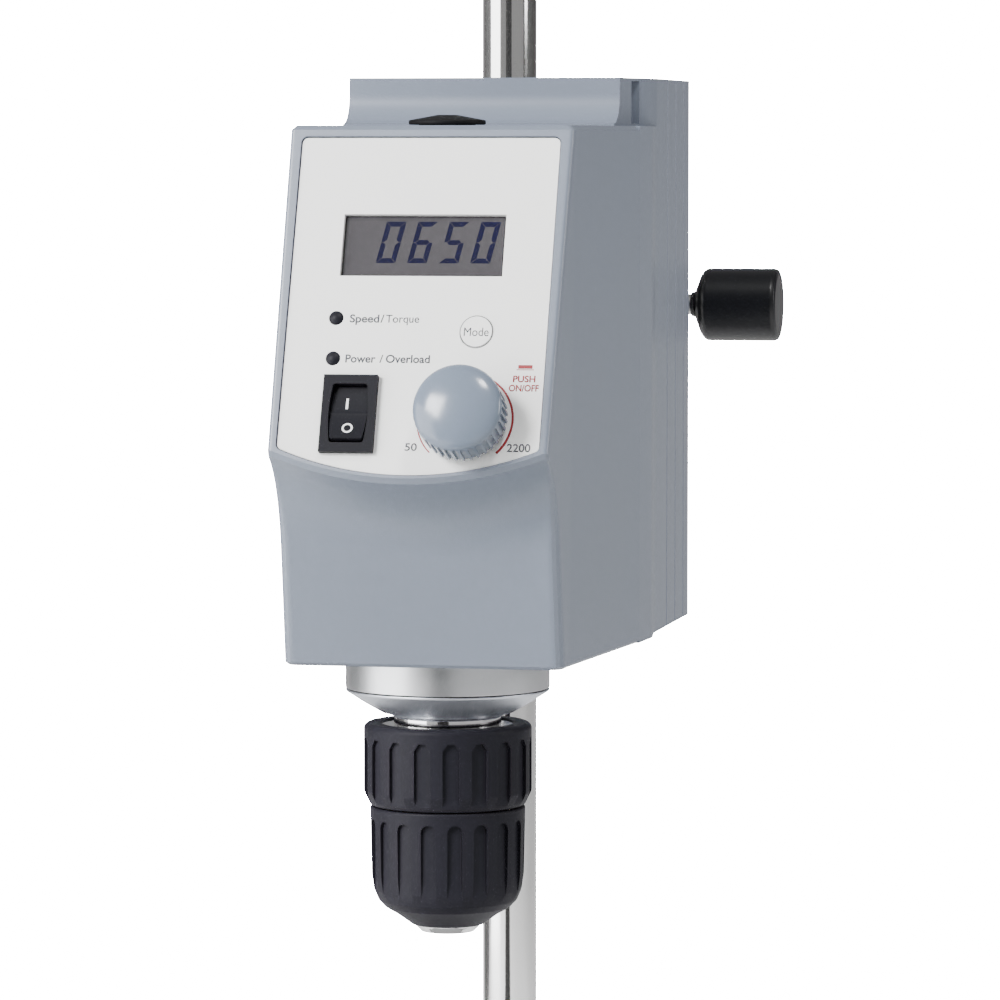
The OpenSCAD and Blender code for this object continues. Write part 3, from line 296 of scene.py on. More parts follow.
def noise(tree, coords, scale, detail=2.0):
    node = tree.nodes.new("ShaderNodeTexNoise")
    node.inputs["Detail"].default_value = detail
    tree.links.new(coords, node.inputs["Vector"])
    if isinstance(scale, (int, float)):
        node.inputs["Scale"].default_value = scale
    else:
        tree.links.new(scale, node.inputs["Scale"])
    return node.outputs["Fac"]


# %% [markdown]
# Moulded and painted surfaces have a tooth that is too fine to model, and their colour is never quite even. One
# group makes both from noise, at two scales that are told in waves per metre.

# %% Grain: fine tooth and slow mottle
grain_tree, grain_in, grain_out = shader_group(
    "surface_grain", [("Grain per metre", 2500.0), ("Mottle per metre", 25.0)], ["Height", "Mottle"])
grain_coords = grain_tree.nodes.new("ShaderNodeTexCoord").outputs["Object"]
grain_tree.links.new(noise(grain_tree, grain_coords, grain_in.outputs[0], 3.0), grain_out.inputs["Height"])
grain_tree.links.new(noise(grain_tree, grain_coords, grain_in.outputs[1], 4.0), grain_out.inputs["Mottle"])
print("group", grain_tree.name, "puts out Height and Mottle")

# %% [markdown]
# A cutting tool leaves fine rings round the axis of a turned part. The distance from the axis plus the height gives
# each ring its own number, on a cylinder as well as on an end face, and noise of that number makes uneven lines.

# %% Turned rings: fine lines round an upright axis
rings_tree, rings_in, rings_out = shader_group(
    "turned_rings", [("Lines per metre", 3000.0), ("Axis X", 0.0), ("Axis Y", 0.0)], ["Height"])
place_xyz = rings_tree.nodes.new("ShaderNodeSeparateXYZ")
rings_tree.links.new(rings_tree.nodes.new("ShaderNodeTexCoord").outputs["Object"], place_xyz.inputs[0])
off_x = math_node(rings_tree, "SUBTRACT", place_xyz.outputs[0], rings_in.outputs[1])
off_y = math_node(rings_tree, "SUBTRACT", place_xyz.outputs[1], rings_in.outputs[2])
square_sum = math_node(rings_tree, "ADD", math_node(rings_tree, "MULTIPLY", off_x, off_x),
                       math_node(rings_tree, "MULTIPLY", off_y, off_y))
along = math_node(rings_tree, "ADD", math_node(rings_tree, "SQRT", square_sum), place_xyz.outputs[2])
line_coords = rings_tree.nodes.new("ShaderNodeCombineXYZ")
rings_tree.links.new(math_node(rings_tree, "MULTIPLY", along, rings_in.outputs[0]), line_coords.inputs[0])
rings_tree.links.new(noise(rings_tree, line_coords.outputs[0], 1.0, 2.0), rings_out.inputs["Height"])
print("group", rings_tree.name, "puts out Height")

# %% [markdown]
# Every finish is made from one recipe: a Principled shader whose colour drifts a little with the mottle, whose
# roughness varies with it, and whose grain or rings feed a bump. The shader itself stays in the material, and a
# value that is the same all over sits on its own socket.

# %% The recipe for a finish
MOTTLE_LOW, MOTTLE_HIGH = 0.3, 0.7
SMOOTHEST = 0.01


def finish(name, colour, roughness, metallic=0.0, drift=0.05, grain=2500.0, mottle=25.0, bump=0.03, deep_mm=0.02,
           rings=None, rough_drift=0.05, alpha=1.0, level=0.5):
    material = bpy.data.materials.new(name)
    material.use_nodes = True
    tree = material.node_tree
    shader = tree.nodes["Principled BSDF"]
    shader.inputs["Metallic"].default_value = metallic
    shader.inputs["Alpha"].default_value = alpha
    shader.inputs["Specular IOR Level"].default_value = level
    texture = tree.nodes.new("ShaderNodeGroup")
    texture.node_tree = grain_tree
    texture.inputs[0].default_value = grain
    texture.inputs[1].default_value = mottle
    ramp = tree.nodes.new("ShaderNodeValToRGB")
    ramp.color_ramp.elements[0].position = MOTTLE_LOW
    ramp.color_ramp.elements[1].position = MOTTLE_HIGH
    ramp.color_ramp.elements[0].color = [c * (1 - drift) for c in colour] + [1]
    ramp.color_ramp.elements[1].color = [min(1, c * (1 + drift)) for c in colour] + [1]
    tree.links.new(texture.outputs["Mottle"], ramp.inputs["Fac"])
    tree.links.new(ramp.outputs["Color"], shader.inputs["Base Color"])
    spread = tree.nodes.new("ShaderNodeMapRange")
    spread.inputs["To Min"].default_value = max(SMOOTHEST, roughness - rough_drift)
    spread.inputs["To Max"].default_value = roughness + rough_drift
    tree.links.new(texture.outputs["Mottle"], spread.inputs["Value"])
    tree.links.new(spread.outputs["Result"], shader.inputs["Roughness"])
    relief = tree.nodes.new("ShaderNodeBump")
    relief.inputs["Strength"].default_value = bump
    relief.inputs["Distance"].default_value = deep_mm * MM
    if rings:
        lines = tree.nodes.new("ShaderNodeGroup")
        lines.node_tree = rings_tree
        for socket, value in zip(lines.inputs, rings):
            socket.default_value = value
        tree.links.new(lines.outputs["Height"], relief.inputs["Height"])
    else:
        tree.links.new(texture.outputs["Height"], relief.inputs["Height"])
    tree.links.new(relief.outputs["Normal"], shader.inputs["Normal"])
    return material


# %% [markdown]
# The paint is a blue grey with a soft gloss. The black parts are three different plastics: a dull switch, duller
# sleeves that are easy to grip, and slightly glossy clamp knobs. Black looks right only with a low specular level,
# since a bright studio would turn it grey.

# %% Paint and plastics
paint = finish("housing_paint", (0.168, 0.193, 0.243), 0.34, drift=0.015, grain=3500, bump=0.25, deep_mm=0.02)
knob_plastic = finish("knob_plastic", (0.150, 0.183, 0.238), 0.17, drift=0.015, grain=4000, bump=0.08, deep_mm=0.01)
switch_black = finish("switch_black", (0.0065, 0.0065, 0.0095), 0.5, level=0.12, drift=0.1, grain=6000, bump=0.3,
                      deep_mm=0.015)
sleeve_black = finish("sleeve_charcoal", (0.0155, 0.0148, 0.0205), 0.5, level=0.1, drift=0.08, grain=4500,
                      bump=0.35, deep_mm=0.02)
clamp_black = finish("clamp_black", (0.006, 0.006, 0.008), 0.34, level=0.35, drift=0.1, grain=3000, bump=0.4,
                     deep_mm=0.03)
cap_rubber = finish("cap_rubber", (0.004, 0.004, 0.005), 0.6, level=0.15, drift=0.1, grain=3500, bump=0.5,
                    deep_mm=0.03)
belt_rubber = finish("belt_rubber", (0.015, 0.015, 0.016), 0.7, drift=0.1, grain=3000, bump=0.5)
board_green = finish("board_green", (0.02, 0.11, 0.045), 0.35, drift=0.12, grain=900, bump=0.2, deep_mm=0.05)

# %% [markdown]
# The panel is a white film with printed ink. Behind its clear window the display is a grey sheet with dark blue
# digits, and the two lamps are dark domes, as they are when unlit. The window is nearly clear instead of glass,
# so that little light is lost on its way to the digits.

# %% Panel, ink and display
panel_film = finish("panel_film", (0.90, 0.90, 0.885), 0.45, drift=0.006, grain=5000, bump=0.12, deep_mm=0.01)
print_grey = finish("print_grey", (0.055, 0.058, 0.068), 0.5, drift=0.03)
print_red = finish("print_red", (0.26, 0.008, 0.014), 0.45, drift=0.03)
print_white = finish("print_white", (0.85, 0.85, 0.85), 0.4, drift=0.01)
lamp_dark = finish("unlit_lamp", (0.010, 0.010, 0.014), 0.45, drift=0.1, grain=800, bump=0.02, level=0.12)
window_clear = finish("window_clear", (0.06, 0.06, 0.06), 0.15, drift=0.0, bump=0.0, alpha=0.05, rough_drift=0.02,
                      level=0.2)
display_grey = finish("display_grey", (0.058, 0.055, 0.061), 0.7, level=0.15, drift=0.06, grain=1500, mottle=60,
                      bump=0.02)
digit_blue = finish("digit_blue", (0.001, 0.001, 0.024), 0.7, level=0.1, drift=0.1, bump=0.0)

# %% [markdown]
# Each metal is told by its brightness and its roughness: a polished rod, a bright chuck, a satin collar and a dull
# cone. Turned parts get rings round their own axis, which for the rod is not the axis of the chuck.

# %% Metals
ROD_AXIS = (-0.0233, 0.202)
CHUCK_AXIS = (0, 0)
rod_steel = finish("rod_steel", (0.88, 0.88, 0.875), 0.08, 1.0, drift=0.02, rings=(9000, *ROD_AXIS), bump=0.12,
                   deep_mm=0.01, rough_drift=0.03)
bright_steel = finish("bright_steel", (0.80, 0.80, 0.805), 0.09, 1.0, drift=0.02, rings=(9000, *CHUCK_AXIS),
                      bump=0.08, deep_mm=0.01, rough_drift=0.02)
satin_collar = finish("satin_collar", (0.60, 0.61, 0.63), 0.34, 1.0, drift=0.02, rings=(7000, *CHUCK_AXIS),
                      bump=0.25, deep_mm=0.01)
cone_metal = finish("cone_metal", (0.57, 0.595, 0.65), 0.42, 1.0, drift=0.02, rings=(9000, *CHUCK_AXIS), bump=0.1,
                    deep_mm=0.01, rough_drift=0.03)
plain_steel = finish("machined_steel", (0.50, 0.50, 0.50), 0.28, 1.0, drift=0.04, grain=3000, bump=0.15)
arm_steel = finish("arm_steel", (0.62, 0.62, 0.62), 0.2, 1.0, drift=0.02, grain=2500, bump=0.08)
cast_metal = finish("cast_metal", (0.42, 0.43, 0.44), 0.42, 1.0, drift=0.05, grain=1800, bump=0.4, deep_mm=0.05)
nut_brass = finish("nut_brass", (0.60, 0.44, 0.20), 0.3, 1.0, drift=0.04)
winding = finish("winding_copper", (0.42, 0.14, 0.06), 0.4, 1.0, drift=0.1, grain=1500, bump=0.6, deep_mm=0.2)
print("finishes so far:", len(bpy.data.materials))

# %% [markdown]
# The housing is two painted mouldings that meet at a seam. Their shapes are right in the frame, and only their
# edges are too sharp, so each gets a joined-up copy with its edges rounded.

# %% Housings
front = copy_of("front_housing", "front_shell", 0.35, 3, 20)
finish_piece(front, "head", paint, ["front_housing"])
rear = copy_of("rear_housing", "rear_shell", 0.5, 3, 20)
finish_piece(rear, "head", paint, ["rear_housing"])

# %% [markdown]
# The smaller parts get the same treatment, each with a radius that suits how it is made: moulded plastic is rounder
# than turned metal, and a pressed plate is nearly sharp.

# %% Rounded copies of the smaller parts
# Each row: node, name of the copy, body, slot, finish, radius in mm, segments, and the angle past which an edge
# counts as sharp.
ROUNDED = [
    ("control_panel", "panel_plate", "head", "panel", panel_film, 0.12, 2, 30),
    ("display_window", "window_pane", "head", "window", window_clear, 0.1, 2, 30),
    ("rocker_frame", "switch_bezel", "head", "black_plastic", switch_black, 0.18, 2, 30),
    ("rocker", "switch_paddle", "switch", "black_plastic", switch_black, 0.25, 3, 26),
    ("top_cap", "bore_cap", "cap", "rubber", cap_rubber, 0.35, 3, 26),
    ("collar", "turned_collar", "head", "collar", satin_collar, 0.2, 2, 30),
    ("bearing_cap", "bearing_cone", "head", "cone", cone_metal, 0.2, 2, 20),
    ("chuck_body", "chuck_core", "spindle", "bright_steel", bright_steel, 0.15, 2, 30),
    ("boss_head", "cast_boss", "clamp", "black_plastic", clamp_black, 0.8, 3, 30),
    ("arm_clamp_knob", "right_hand_knob", "arm_knob", "black_plastic", clamp_black, 0.5, 3, 14),
    ("rod_clamp_knob", "left_hand_knob", "rod_knob", "black_plastic", clamp_black, 0.5, 3, 14),
    ("arm_socket", "flanged_socket", "head", "collar", cast_metal, 0.3, 2, 30),
    ("power_inlet", "inlet_body", "head", "black_plastic", switch_black, 0.3, 2, 30),
    ("serial_port", "port_shell", "head", "plain_steel", plain_steel, 0.15, 2, 30),
    ("housing_screws", "long_screws", "head", "plain_steel", plain_steel, 0.15, 2, 30),
    ("socket_screws", "flange_screws", "head", "plain_steel", plain_steel, 0.12, 2, 30),
    ("support_arm", "round_arm", "head", "bright_steel", arm_steel, 0.2, 2, 30),
    ("stand_rod", "upright_rod", "stand", "bright_steel", rod_steel, 0.2, 2, 30),
    ("mode_button", "button_cap", "button", "button_plastic", panel_film, 0.12, 2, 30),
]
for node, name, body, slot, material, width, segments, degrees in ROUNDED:
    finish_piece(copy_of(node, name, width, segments, degrees), body, material, [node])

# %% [markdown]
# The two chuck sleeves and the knob are turned shapes with pockets cut round them. Each starts as half a section
# that is spun round the axis. A ring of cutters, made once and turned round, then takes the pockets away, and a
# small bevel catches the light along every new edge.

# %% Spin a section, and cut a ring of pockets
WELD = 1e-6


def empty_mesh(name):
    deselect()
    bpy.ops.mesh.primitive_plane_add(size=1)
    shape = bpy.context.object
    shape.name = name
    in_edit(shape, lambda: (select_everything(), bpy.ops.mesh.delete(type="VERT")))
    return shape


def lathe(name, section, steps=96):
    turned = empty_mesh(name)
    count = len(section)
    turned.data.from_pydata([(r * MM, 0, z * MM) for r, z in section],
                            [(i, (i + 1) % count) for i in range(count)], [])

    def spin():
        select_everything()
        bpy.ops.mesh.spin(steps=steps, angle=2 * math.pi, center=(0, 0, 0), axis=(0, 0, 1), dupli=False)
        select_everything()
        bpy.ops.mesh.remove_doubles(threshold=WELD)
        bpy.ops.mesh.normals_make_consistent(inside=False)

    in_edit(turned, spin)
    return turned


def ring_of_cutters(name, outline, floor_r, out_r, count, start_deg):
    """Prisms with an outline of (across, height) that reach from floor_r to out_r."""
    ring = empty_mesh(name)
    points, faces = [], []
    for i in range(count):
        turn = math.radians(start_deg + 360 * i / count)
        first = len(points)
        n = len(outline)
        for radius in (floor_r, out_r):
            for across, z in outline:
                points.append(((radius * math.cos(turn) - across * math.sin(turn)) * MM,
                               (radius * math.sin(turn) + across * math.cos(turn)) * MM, z * MM))
        faces.append([first + k for k in range(n)])
        faces.append([first + n + k for k in reversed(range(n))])
        faces += [[first + k, first + n + k, first + n + (k + 1) % n, first + (k + 1) % n] for k in range(n)]
    ring.data.from_pydata(points, [], faces)
    in_edit(ring, face_outward)
    return ring


def cut(obj, cutters):
    apply_modifier(obj, "BOOLEAN", operation="DIFFERENCE", solver="EXACT", object=cutters)
    bpy.data.objects.remove(cutters)


def house_outline(half, low, eaves, ridge, flat):
    return [(-half, low), (half, low), (half, eaves), (flat, ridge), (-flat, ridge), (-half, eaves)]


def slot_outline(half, low, high, steps=8):
    arc = [math.pi * i / steps for i in range(steps + 1)]
    return ([(half * math.cos(a), high - half + half * math.sin(a)) for a in arc]
            + [(-half * math.cos(a), low + half - half * math.sin(a)) for a in arc])


# %% [markdown]
# The upper grip stands still against the chuck's body and has eighteen grooves with a roof at the top. The lower
# grip is turned by hand to close the jaws, and its eighteen pockets have round ends. The numbers are radius and
# height in millimetres, so each section reads as a drawing of half the sleeve.

# %% Upper and lower grips of the chuck
GRIPS = 18
upper = lathe("upper_grip", [(16.92, -38.3), (19.95, -38.3), (21.7, -34.7), (21.7, -17.9), (20.8, -17.0),
                             (16.92, -17.0)])
bevel(upper, 0.5, 3, 25)
cut(upper, ring_of_cutters("upper_cutters", house_outline(2.15, -40.0, -22.4, -20.6, 0.9), 20.7, 24, GRIPS, 4))
bevel(upper, 0.22, 2, 40)
smooth(upper, 30)
finish_piece(upper, "spindle", sleeve_black, ["rear_sleeve"])

lower = lathe("lower_grip", [(18.25, -38.6), (19.7, -38.6), (20.05, -38.95), (19.7, -56.2), (19.15, -60.1),
                             (17.95, -63.0), (16.25, -64.8), (12.9, -66.8), (9.15, -69.5), (9.15, -68.7),
                             (14.2, -56.0), (18.25, -52.0)])
bevel(lower, 1.0, 3, 12)
cut(lower, ring_of_cutters("lower_cutters", slot_outline(1.95, -62.0, -41.6), 18.95, 24, GRIPS, 7))
bevel(lower, 0.2, 2, 40)
smooth(lower, 30)
finish_piece(lower, "sleeve", sleeve_black, ["front_sleeve"])
print("faces of the grips:", len(upper.data.polygons), "and", len(lower.data.polygons))

# %% [markdown]
# The back carries two bought-in sockets. The mains inlet has three flat blades, two in line and the earth above
# them. A box with rounded edges is all that a blade is, so it is set between two corners and bevelled.

# %% Blades of the mains inlet
REAR_Y = 134.6
INLET_Z = 28.0
BLADE_HALF = (1.03, 2.03)
BLADE_FROM, BLADE_TO = 15.6, 1.9


def box_between(name, low, high):
    deselect()
    middle = [(a + b) / 2 * MM for a, b in zip(low, high)]
    bpy.ops.mesh.primitive_cube_add(size=1, location=middle)
    box = bpy.context.object
    box.name = name
    box.scale = [(b - a) * MM for a, b in zip(low, high)]
    settle(box)
    return box


for name, across, up in [("live_blade", -7, -2), ("earth_blade", 0, 2), ("neutral_blade", 7, -2)]:
    blade = box_between(name, (across - BLADE_HALF[0], REAR_Y - BLADE_FROM, INLET_Z + up - BLADE_HALF[1]),
                        (across + BLADE_HALF[0], REAR_Y - BLADE_TO, INLET_Z + up + BLADE_HALF[1]))
    bevel(blade, 0.5, 3, 40)
    smooth(blade, 30)
    finish_piece(blade, "head", plain_steel)
    print(name, "stands", across, "mm across from the middle")

# %% [markdown]
# The data port has a dark insert that is narrower at the bottom, so that a plug fits one way only, and two rows of
# small contacts. The insert is a box whose lower corners are drawn in. Each contact is a short round pin with a
# softened edge.

# %% Insert and contacts of the data port
PORT_Z = 55.0
DRAWN_IN = 0.9
CONTACT_R, CONTACT_LONG, CONTACT_GAP = 0.42, 0.5, 2.7
insert = box_between("port_insert", (-7.1, REAR_Y + 1.05, PORT_Z - 3.3), (7.1, REAR_Y + 4.6, PORT_Z + 3.3))
in_edit(insert, lambda: (select_everything(), bpy.ops.mesh.subdivide(number_cuts=1)))
for corner in insert.data.vertices:
    if corner.co.z < PORT_Z * MM:
        corner.co.x *= DRAWN_IN
bevel(insert, 0.6, 3, 50)
smooth(insert, 30)
finish_piece(insert, "head", switch_black)
for row, count, up in [("upper", 5, 1.35), ("lower", 4, -1.35)]:
    for i in range(count):
        deselect()
        across = (i - (count - 1) / 2) * CONTACT_GAP * MM
        bpy.ops.mesh.primitive_cylinder_add(vertices=16, radius=CONTACT_R * MM, depth=CONTACT_LONG * MM,
                                            location=(across, (REAR_Y + 4.7) * MM, (PORT_Z + up) * MM),
                                            rotation=(math.pi / 2, 0, 0))
        contact = bpy.context.object
        contact.name = "%s_contact_%d" % (row, i + 1)
        settle(contact)
        bevel(contact, 0.1, 2, 40)
        smooth(contact, 30)
        finish_piece(contact, "head", nut_brass)
    print(row, "row of contacts:", count)

# %% [markdown]
# The panel leans back by 20.9 degrees. To work on it as on a drawing, each mark is made flat on the floor, in
# millimetres across and down the panel, and one matrix then lifts it onto the slope.

# %% The panel's plane
PANEL_LEAN = 20.9
TILT = math.radians(PANEL_LEAN)
PANEL_TOP = Vector((0, -19, 136.7)) * MM
DOWN_SLOPE = Vector((0, -math.sin(TILT), -math.cos(TILT)))
OUTWARD = Vector((0, -math.cos(TILT), math.sin(TILT)))
FACE_N = -0.5


def panel_matrix(across, down, out=FACE_N):
    place = PANEL_TOP + (DOWN_SLOPE * down + OUTWARD * out + Vector((across, 0, 0))) * MM
    return Matrix.Translation(place) @ Matrix.Rotation(math.pi / 2 - TILT, 4, "X")


def onto_panel(obj, across, down, out=FACE_N):
    settle(obj)
    obj.data.transform(panel_matrix(across, down, out))
    obj.data.update()


print("the panel leans back by", PANEL_LEAN, "degrees")

# %% [markdown]
# The speed knob is a low dome over a skirt with 36 flutes. It is turned like the sleeves, with an open middle that
# fits over the bush and the shaft of its encoder. The flutes are cut like the sleeve's grooves, with small lands left
# between them, and a fine bevel on every edge makes them glint one by one.

# %% Speed knob: a smooth dome over a fluted skirt
KNOB_AT = (14.0, 78.0)
KNOB_LIFT = 1.3
FLUTES = 36
dome = [(11.2 * math.cos(math.radians(a)), 8.5 + 3.5 * math.sin(math.radians(a))) for a in range(0, 90, 9)]
knob = lathe("fluted_knob", [(4.3, 0), (10.9, 0), (11.25, 0.4), (11.28, 8.2)] + dome
             + [(0, 12.0), (0, 8.5), (2.62, 8.5), (2.62, 1.4), (4.3, 1.4)])
cut(knob, ring_of_cutters("flute_cutters", house_outline(0.66, -1.0, 8.0, 8.6, 0.25), 10.6, 13, FLUTES, 0))
bevel(knob, 0.12, 2, 40)
smooth(knob, 30)
onto_panel(knob, *KNOB_AT, FACE_N + KNOB_LIFT)
finish_piece(knob, "knob", knob_plastic, ["speed_knob"])
print("faces of the knob:", len(knob.data.polygons))

# %% [markdown]
# Words on the panel are screen printed: a thin, crisp layer of ink. A text object gives the letters, and once it
# is a mesh it is stretched to the width and the capital height that the print has.

# %% Printed words
INK = 0.03
SAME_INK_POINT = 1e-7
BUTTON_LIFT = 0.25


def thicken(obj, thick):
    apply_modifier(obj, "SOLIDIFY", thickness=thick * MM, offset=1)


def capital_height():
    deselect()
    bpy.ops.object.text_add()
    letter = bpy.context.object
    letter.data.body = "H"
    bpy.ops.object.convert(target="MESH")
    height = max(v.co.y for v in letter.data.vertices)
    bpy.data.objects.remove(letter)
    return height


CAPITAL = capital_height()


def word(name, text, left, right, cap_top, base, ink, bold, out=FACE_N):
    deselect()
    bpy.ops.object.text_add()
    printed = bpy.context.object
    printed.name = name
    printed.data.body = text
    printed.data.offset = bold
    printed.data.extrude = 0.0
    bpy.ops.object.convert(target="MESH")
    xs = [v.co.x for v in printed.data.vertices]
    low, wide = min(xs), max(xs) - min(xs)
    printed.scale = ((right - left) * MM / wide, (base - cap_top) * MM / CAPITAL, 1)
    printed.location = (-low * printed.scale[0], 0, 0)
    settle(printed)
    in_edit(printed, lambda: (select_everything(), bpy.ops.mesh.remove_doubles(threshold=SAME_INK_POINT)))
    thicken(printed, INK)
    onto_panel(printed, left, base, out)
    return finish_piece(printed, "head", ink)


# Each row: name, text, its left and right end across the panel, the top of its capitals and its base line down the
# panel, all in mm, the ink, and how much bolder than the typeface its strokes are.
WORDS = [
    ("word_speed", "Speed", -17.3, -9.75, 50.6, 52.6, print_grey, 0.018),
    ("slash_speed", "/", -9.4, -8.45, 50.6, 52.6, print_grey, 0.012),
    ("word_torque", "Torque", -8.05, 0.5, 50.6, 52.6, print_grey, 0.004),
    ("word_power", "Power", -17.6, -9.9, 61.2, 63.2, print_grey, 0.018),
    ("slash_power", "/", -8.85, -7.95, 61.2, 63.2, print_grey, 0.012),
    ("word_overload", "Overload", -7.25, 4.0, 61.2, 63.2, print_grey, 0.018),
    ("word_low_speed", "50", -0.65, 2.4, 84.3, 86.2, print_grey, 0.012),
    ("word_high_speed", "2200", 25.2, 31.1, 84.2, 86.2, print_grey, 0.012),
    ("word_push", "PUSH", 25.5, 31.15, 66.4, 68.0, print_red, 0.022),
    ("word_on_off", "ON/OFF", 24.6, 32.15, 68.8, 70.4, print_red, 0.022),
]
for row in WORDS:
    word(*row)
mode_word = word("word_mode", "Mode", 12.2, 18.5, 53.9, 56.1, print_grey, 0.0, FACE_N + BUTTON_LIFT)
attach(mode_word, "button")
print("words:", len(WORDS) + 1, "and a capital is", round(CAPITAL, 3), "of the text's size")

# %% [markdown]
# Round the knob runs a red scale that grows wider as the speed rises, and round the mode button a thin grey ring. An
# arc is spun from a short edge, and its outer side is then pushed out step by step.

# %% Red scale and button ring
def spun_arc(name, centre, inner, wide_start, wide_end, start_deg, sweep_deg, steps, ink, body, out=FACE_N):
    arc = empty_mesh(name)
    arc.data.from_pydata([(inner * MM, 0, 0), ((inner + wide_start) * MM, 0, 0)], [(0, 1)], [])

    def spin():
        select_everything()
        bpy.ops.transform.rotate(value=-math.radians(start_deg), orient_axis="Z", center_override=(0, 0, 0))
        select_everything()
        bpy.ops.mesh.spin(steps=steps, angle=-math.radians(sweep_deg), center=(0, 0, 0), axis=(0, 0, 1),
                          dupli=False)
        select_everything()
        bpy.ops.mesh.remove_doubles(threshold=SAME_INK_POINT)
        bpy.ops.mesh.normals_make_consistent(inside=False)

    in_edit(arc, spin)
    start = math.radians(start_deg)
    for v in arc.data.vertices:
        radius = math.hypot(v.co.x, v.co.y)
        turn = (math.atan2(v.co.y, v.co.x) - start) % (2 * math.pi)
        share = min(1.0, turn / math.radians(sweep_deg))
        if radius > (inner + wide_start / 2) * MM:
            wider = (inner + wide_start + (wide_end - wide_start) * share) * MM / radius
            v.co.x *= wider
            v.co.y *= wider
    thicken(arc, INK)
    onto_panel(arc, *centre, out)
    finish_piece(arc, body, ink)
    print(name, "sweeps", sweep_deg, "degrees")


BUTTON_AT = (15.3, 54.9)
spun_arc("button_ring", BUTTON_AT, 4.0, 0.15, 0.15, 0, 360, 72, print_grey, "button", FACE_N + BUTTON_LIFT)
spun_arc("speed_scale", KNOB_AT, 11.85, 0.62, 0.3, -45, 271, 96, print_red, "head")

# %% [markdown]
# The push symbol, the digits and the marks on the rocker are flat shapes with corners. Each is laid out from its
# corner points and thickened into a layer of ink, and then it goes onto its surface. The push symbol is the first:
# a bar over a thin line.

# %% Flat shapes with corners, and the push symbol
def flat_shapes(name, outlines, thick=INK):
    shape = empty_mesh(name)
    corners = [(x * MM, y * MM, 0) for outline in outlines for x, y in outline]
    faces, start = [], 0
    for outline in outlines:
        faces.append(tuple(range(start, start + len(outline))))
        start += len(outline)
    shape.data.from_pydata(corners, [], faces)
    in_edit(shape, face_outward)
    thicken(shape, thick)
    print(name, "has", len(outlines), "flat shapes")
    return shape


def box_outline(left, right, low, high):
    return [(left, low), (right, low), (right, high), (left, high)]


push_symbol = flat_shapes("push_symbol", [box_outline(-1.8, 1.8, 0.3, 1.25), box_outline(-2.2, 2.2, -0.08, 0.1)])
onto_panel(push_symbol, 28.4, 64.8)
finish_piece(push_symbol, "head", print_red)

# %% [markdown]
# A display digit is made of seven bars, and each number shows some of them. The bars are drawn for one upright digit:
# a to f run clockwise round the outside from the top, and g crosses the middle. The slant is added when the digits
# are laid out side by side.

# %% Digits of the display, built from slanted bars
DIGIT_W, DIGIT_H, BAR, SPLIT = 5.05, 11.05, 1.3, 0.08
SLANT = math.tan(math.radians(11))
PITCH_X = 8.1
DIGITS_AT = (-12.15, 36.4, -1.695)
BARS = {"0": "abcdef", "5": "afgcd", "6": "afgecd"}


def bar_outlines():
    w, h, t, s = DIGIT_W, DIGIT_H, BAR, SPLIT
    mid = h / 2
    upper_left = [(0, mid + s), (t / 2, mid + s), (t, mid + t / 2 + s), (t, h - t - s), (0, h - s)]
    return {
        "a": [(s, h), (t + s, h - t), (w - t - s, h - t), (w - s, h)],
        "f": upper_left,
        "b": [(w - x, y) for x, y in upper_left],
        "e": [(x, h - y) for x, y in upper_left],
        "c": [(w - x, h - y) for x, y in upper_left],
        "d": [(s, 0), (t + s, t), (w - t - s, t), (w - s, 0)],
        "g": [(t / 2 + s, mid), (t + s, mid + t / 2), (w - t - s, mid + t / 2),
              (w - t / 2 - s, mid), (w - t - s, mid - t / 2), (t + s, mid - t / 2)],
    }


bars = bar_outlines()
shown = [[(x + y * SLANT + PITCH_X * place, y) for x, y in bars[bar]]
         for place, digit in enumerate("0650") for bar in BARS[digit]]
digits = flat_shapes("display_digits", shown)
onto_panel(digits, *DIGITS_AT)
finish_piece(digits, "head", digit_blue)

# %% [markdown]
# The rocker carries a white bar and a white ring. Its face is hollow, like a shallow saddle, and it tilts with the
# switch, so each mark is dipped and turned to lie on the face at its own height before it goes onto the panel. The
# marks ride on the switch and rock with it.

# %% Marks on the tilted rocker
ROCKER_AT = (-15.45, 77.0, -1.0)
ROCKER_TILT = math.radians(-10)
ROCKER_TOP = 1.5
ROCKER_HALF = 7.4
ROCKER_DIP = 0.45
MARK_INK = 0.05
RING_OUT, RING_IN = 1.4, 0.92


def onto_rocker(obj, across, up):
    settle(obj)
    turn = math.pi / 2 * up / ROCKER_HALF
    dip = ROCKER_DIP * math.cos(turn)
    slope = math.atan(ROCKER_DIP * math.sin(turn) * math.pi / 2 / ROCKER_HALF)
    local = (Matrix.Rotation(ROCKER_TILT, 4, "X")
             @ Matrix.Translation(Vector((across, up, ROCKER_TOP - dip)) * MM)
             @ Matrix.Rotation(slope, 4, "X"))
    obj.data.transform(panel_matrix(*ROCKER_AT) @ local)
    obj.data.update()


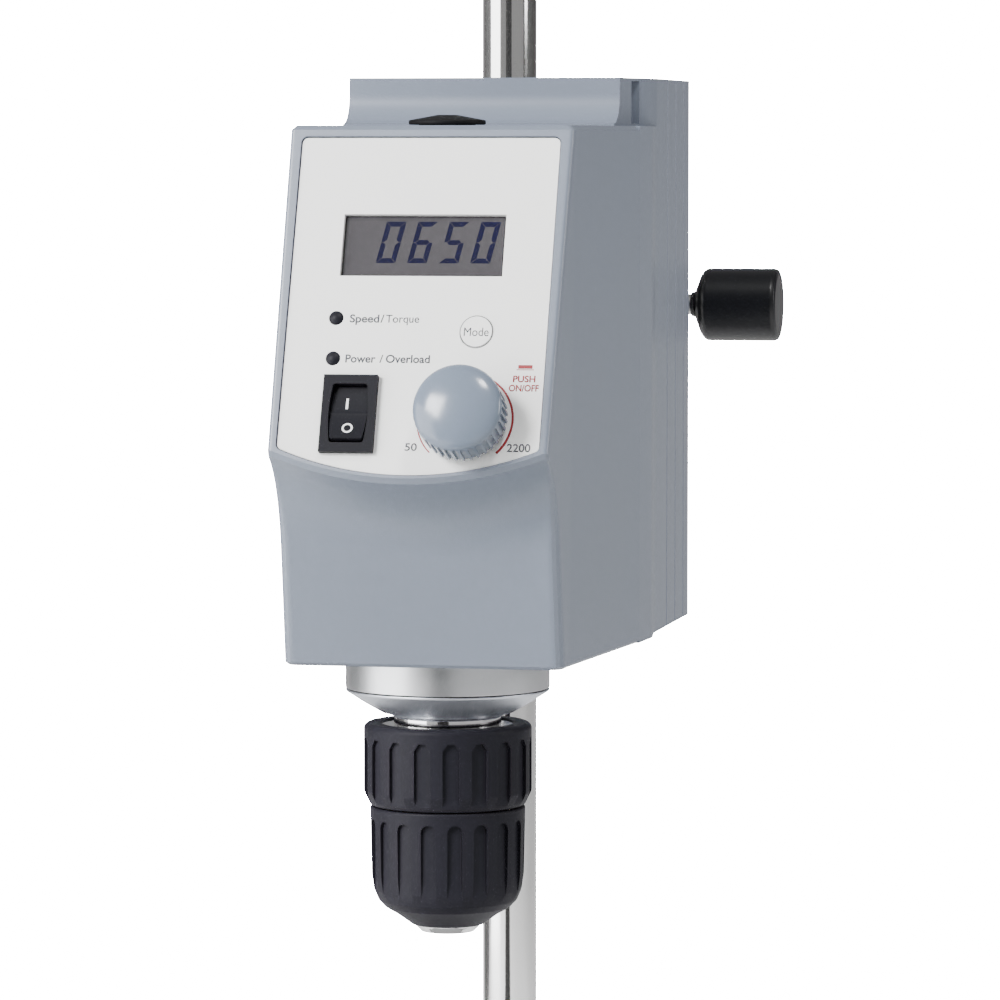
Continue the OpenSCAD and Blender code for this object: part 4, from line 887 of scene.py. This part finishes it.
on_mark = flat_shapes("on_mark", [box_outline(-0.3, 0.3, -1.45, 1.45)], MARK_INK)
onto_rocker(on_mark, -0.7, 2.65)
finish_piece(on_mark, "switch", print_white)
ring = [(math.cos(math.radians(a)), math.sin(math.radians(a))) for a in range(0, 361, 10)]
off_mark = flat_shapes("off_mark", [[(RING_OUT * c, RING_OUT * d) for c, d in ring[i:i + 2]]
                                    + [(RING_IN * c, RING_IN * d) for c, d in reversed(ring[i:i + 2])]
                                    for i in range(len(ring) - 1)], MARK_INK)
onto_rocker(off_mark, 0.1, -4.2)
finish_piece(off_mark, "switch", print_white)

# %% [markdown]
# Every node of the frame gets a finish, also those inside the housing and those whose place a rounded copy takes,
# because the housing may be opened one day and the nodes are looked at one by one.

# %% Finishes for the frame's own nodes
KEPT = {
    "control_panel": panel_film, "display_window": window_clear, "display_module": display_grey,
    "display_board": board_green, "mode_lamp": lamp_dark, "power_lamp": lamp_dark, "mode_switch": switch_black,
    "mode_button": panel_film, "rocker_frame": switch_black, "rocker": switch_black, "encoder_body": plain_steel,
    "encoder_plunger": plain_steel, "encoder_shaft": plain_steel, "speed_knob": knob_plastic,
    "power_inlet": switch_black, "serial_port": plain_steel, "main_board": board_green, "motor_can": cast_metal,
    "stator": winding, "rotor": plain_steel, "drive_pulley": cast_metal, "spindle_pulley": cast_metal,
    "drive_belt": belt_rubber, "bearing_outer_rings": plain_steel, "bearing_balls": bright_steel,
    "bearing_inner_rings": plain_steel, "spindle": plain_steel, "top_cap": cap_rubber, "collar": satin_collar,
    "seal_ring": belt_rubber, "bearing_cap": cone_metal, "chuck_body": bright_steel, "rear_sleeve": sleeve_black,
    "front_sleeve": sleeve_black, "jaw_nut": nut_brass, "jaw_1": plain_steel, "jaw_2": plain_steel,
    "jaw_3": plain_steel, "stand_rod": rod_steel, "boss_head": clamp_black, "arm_clamp_screw": plain_steel,
    "arm_clamp_knob": clamp_black, "rod_clamp_screw": plain_steel, "rod_clamp_knob": clamp_black,
    "support_arm": arm_steel, "arm_socket": cast_metal, "socket_screws": plain_steel, "arm_lock_screw": plain_steel,
    "housing_screws": plain_steel, "chassis": cast_metal, "front_housing": paint, "rear_housing": paint,
}
for node, material in KEPT.items():
    nodes[node].data.materials.clear()
    nodes[node].data.materials.append(material)
print("nodes with a finish:", len(KEPT), "of", len(nodes))
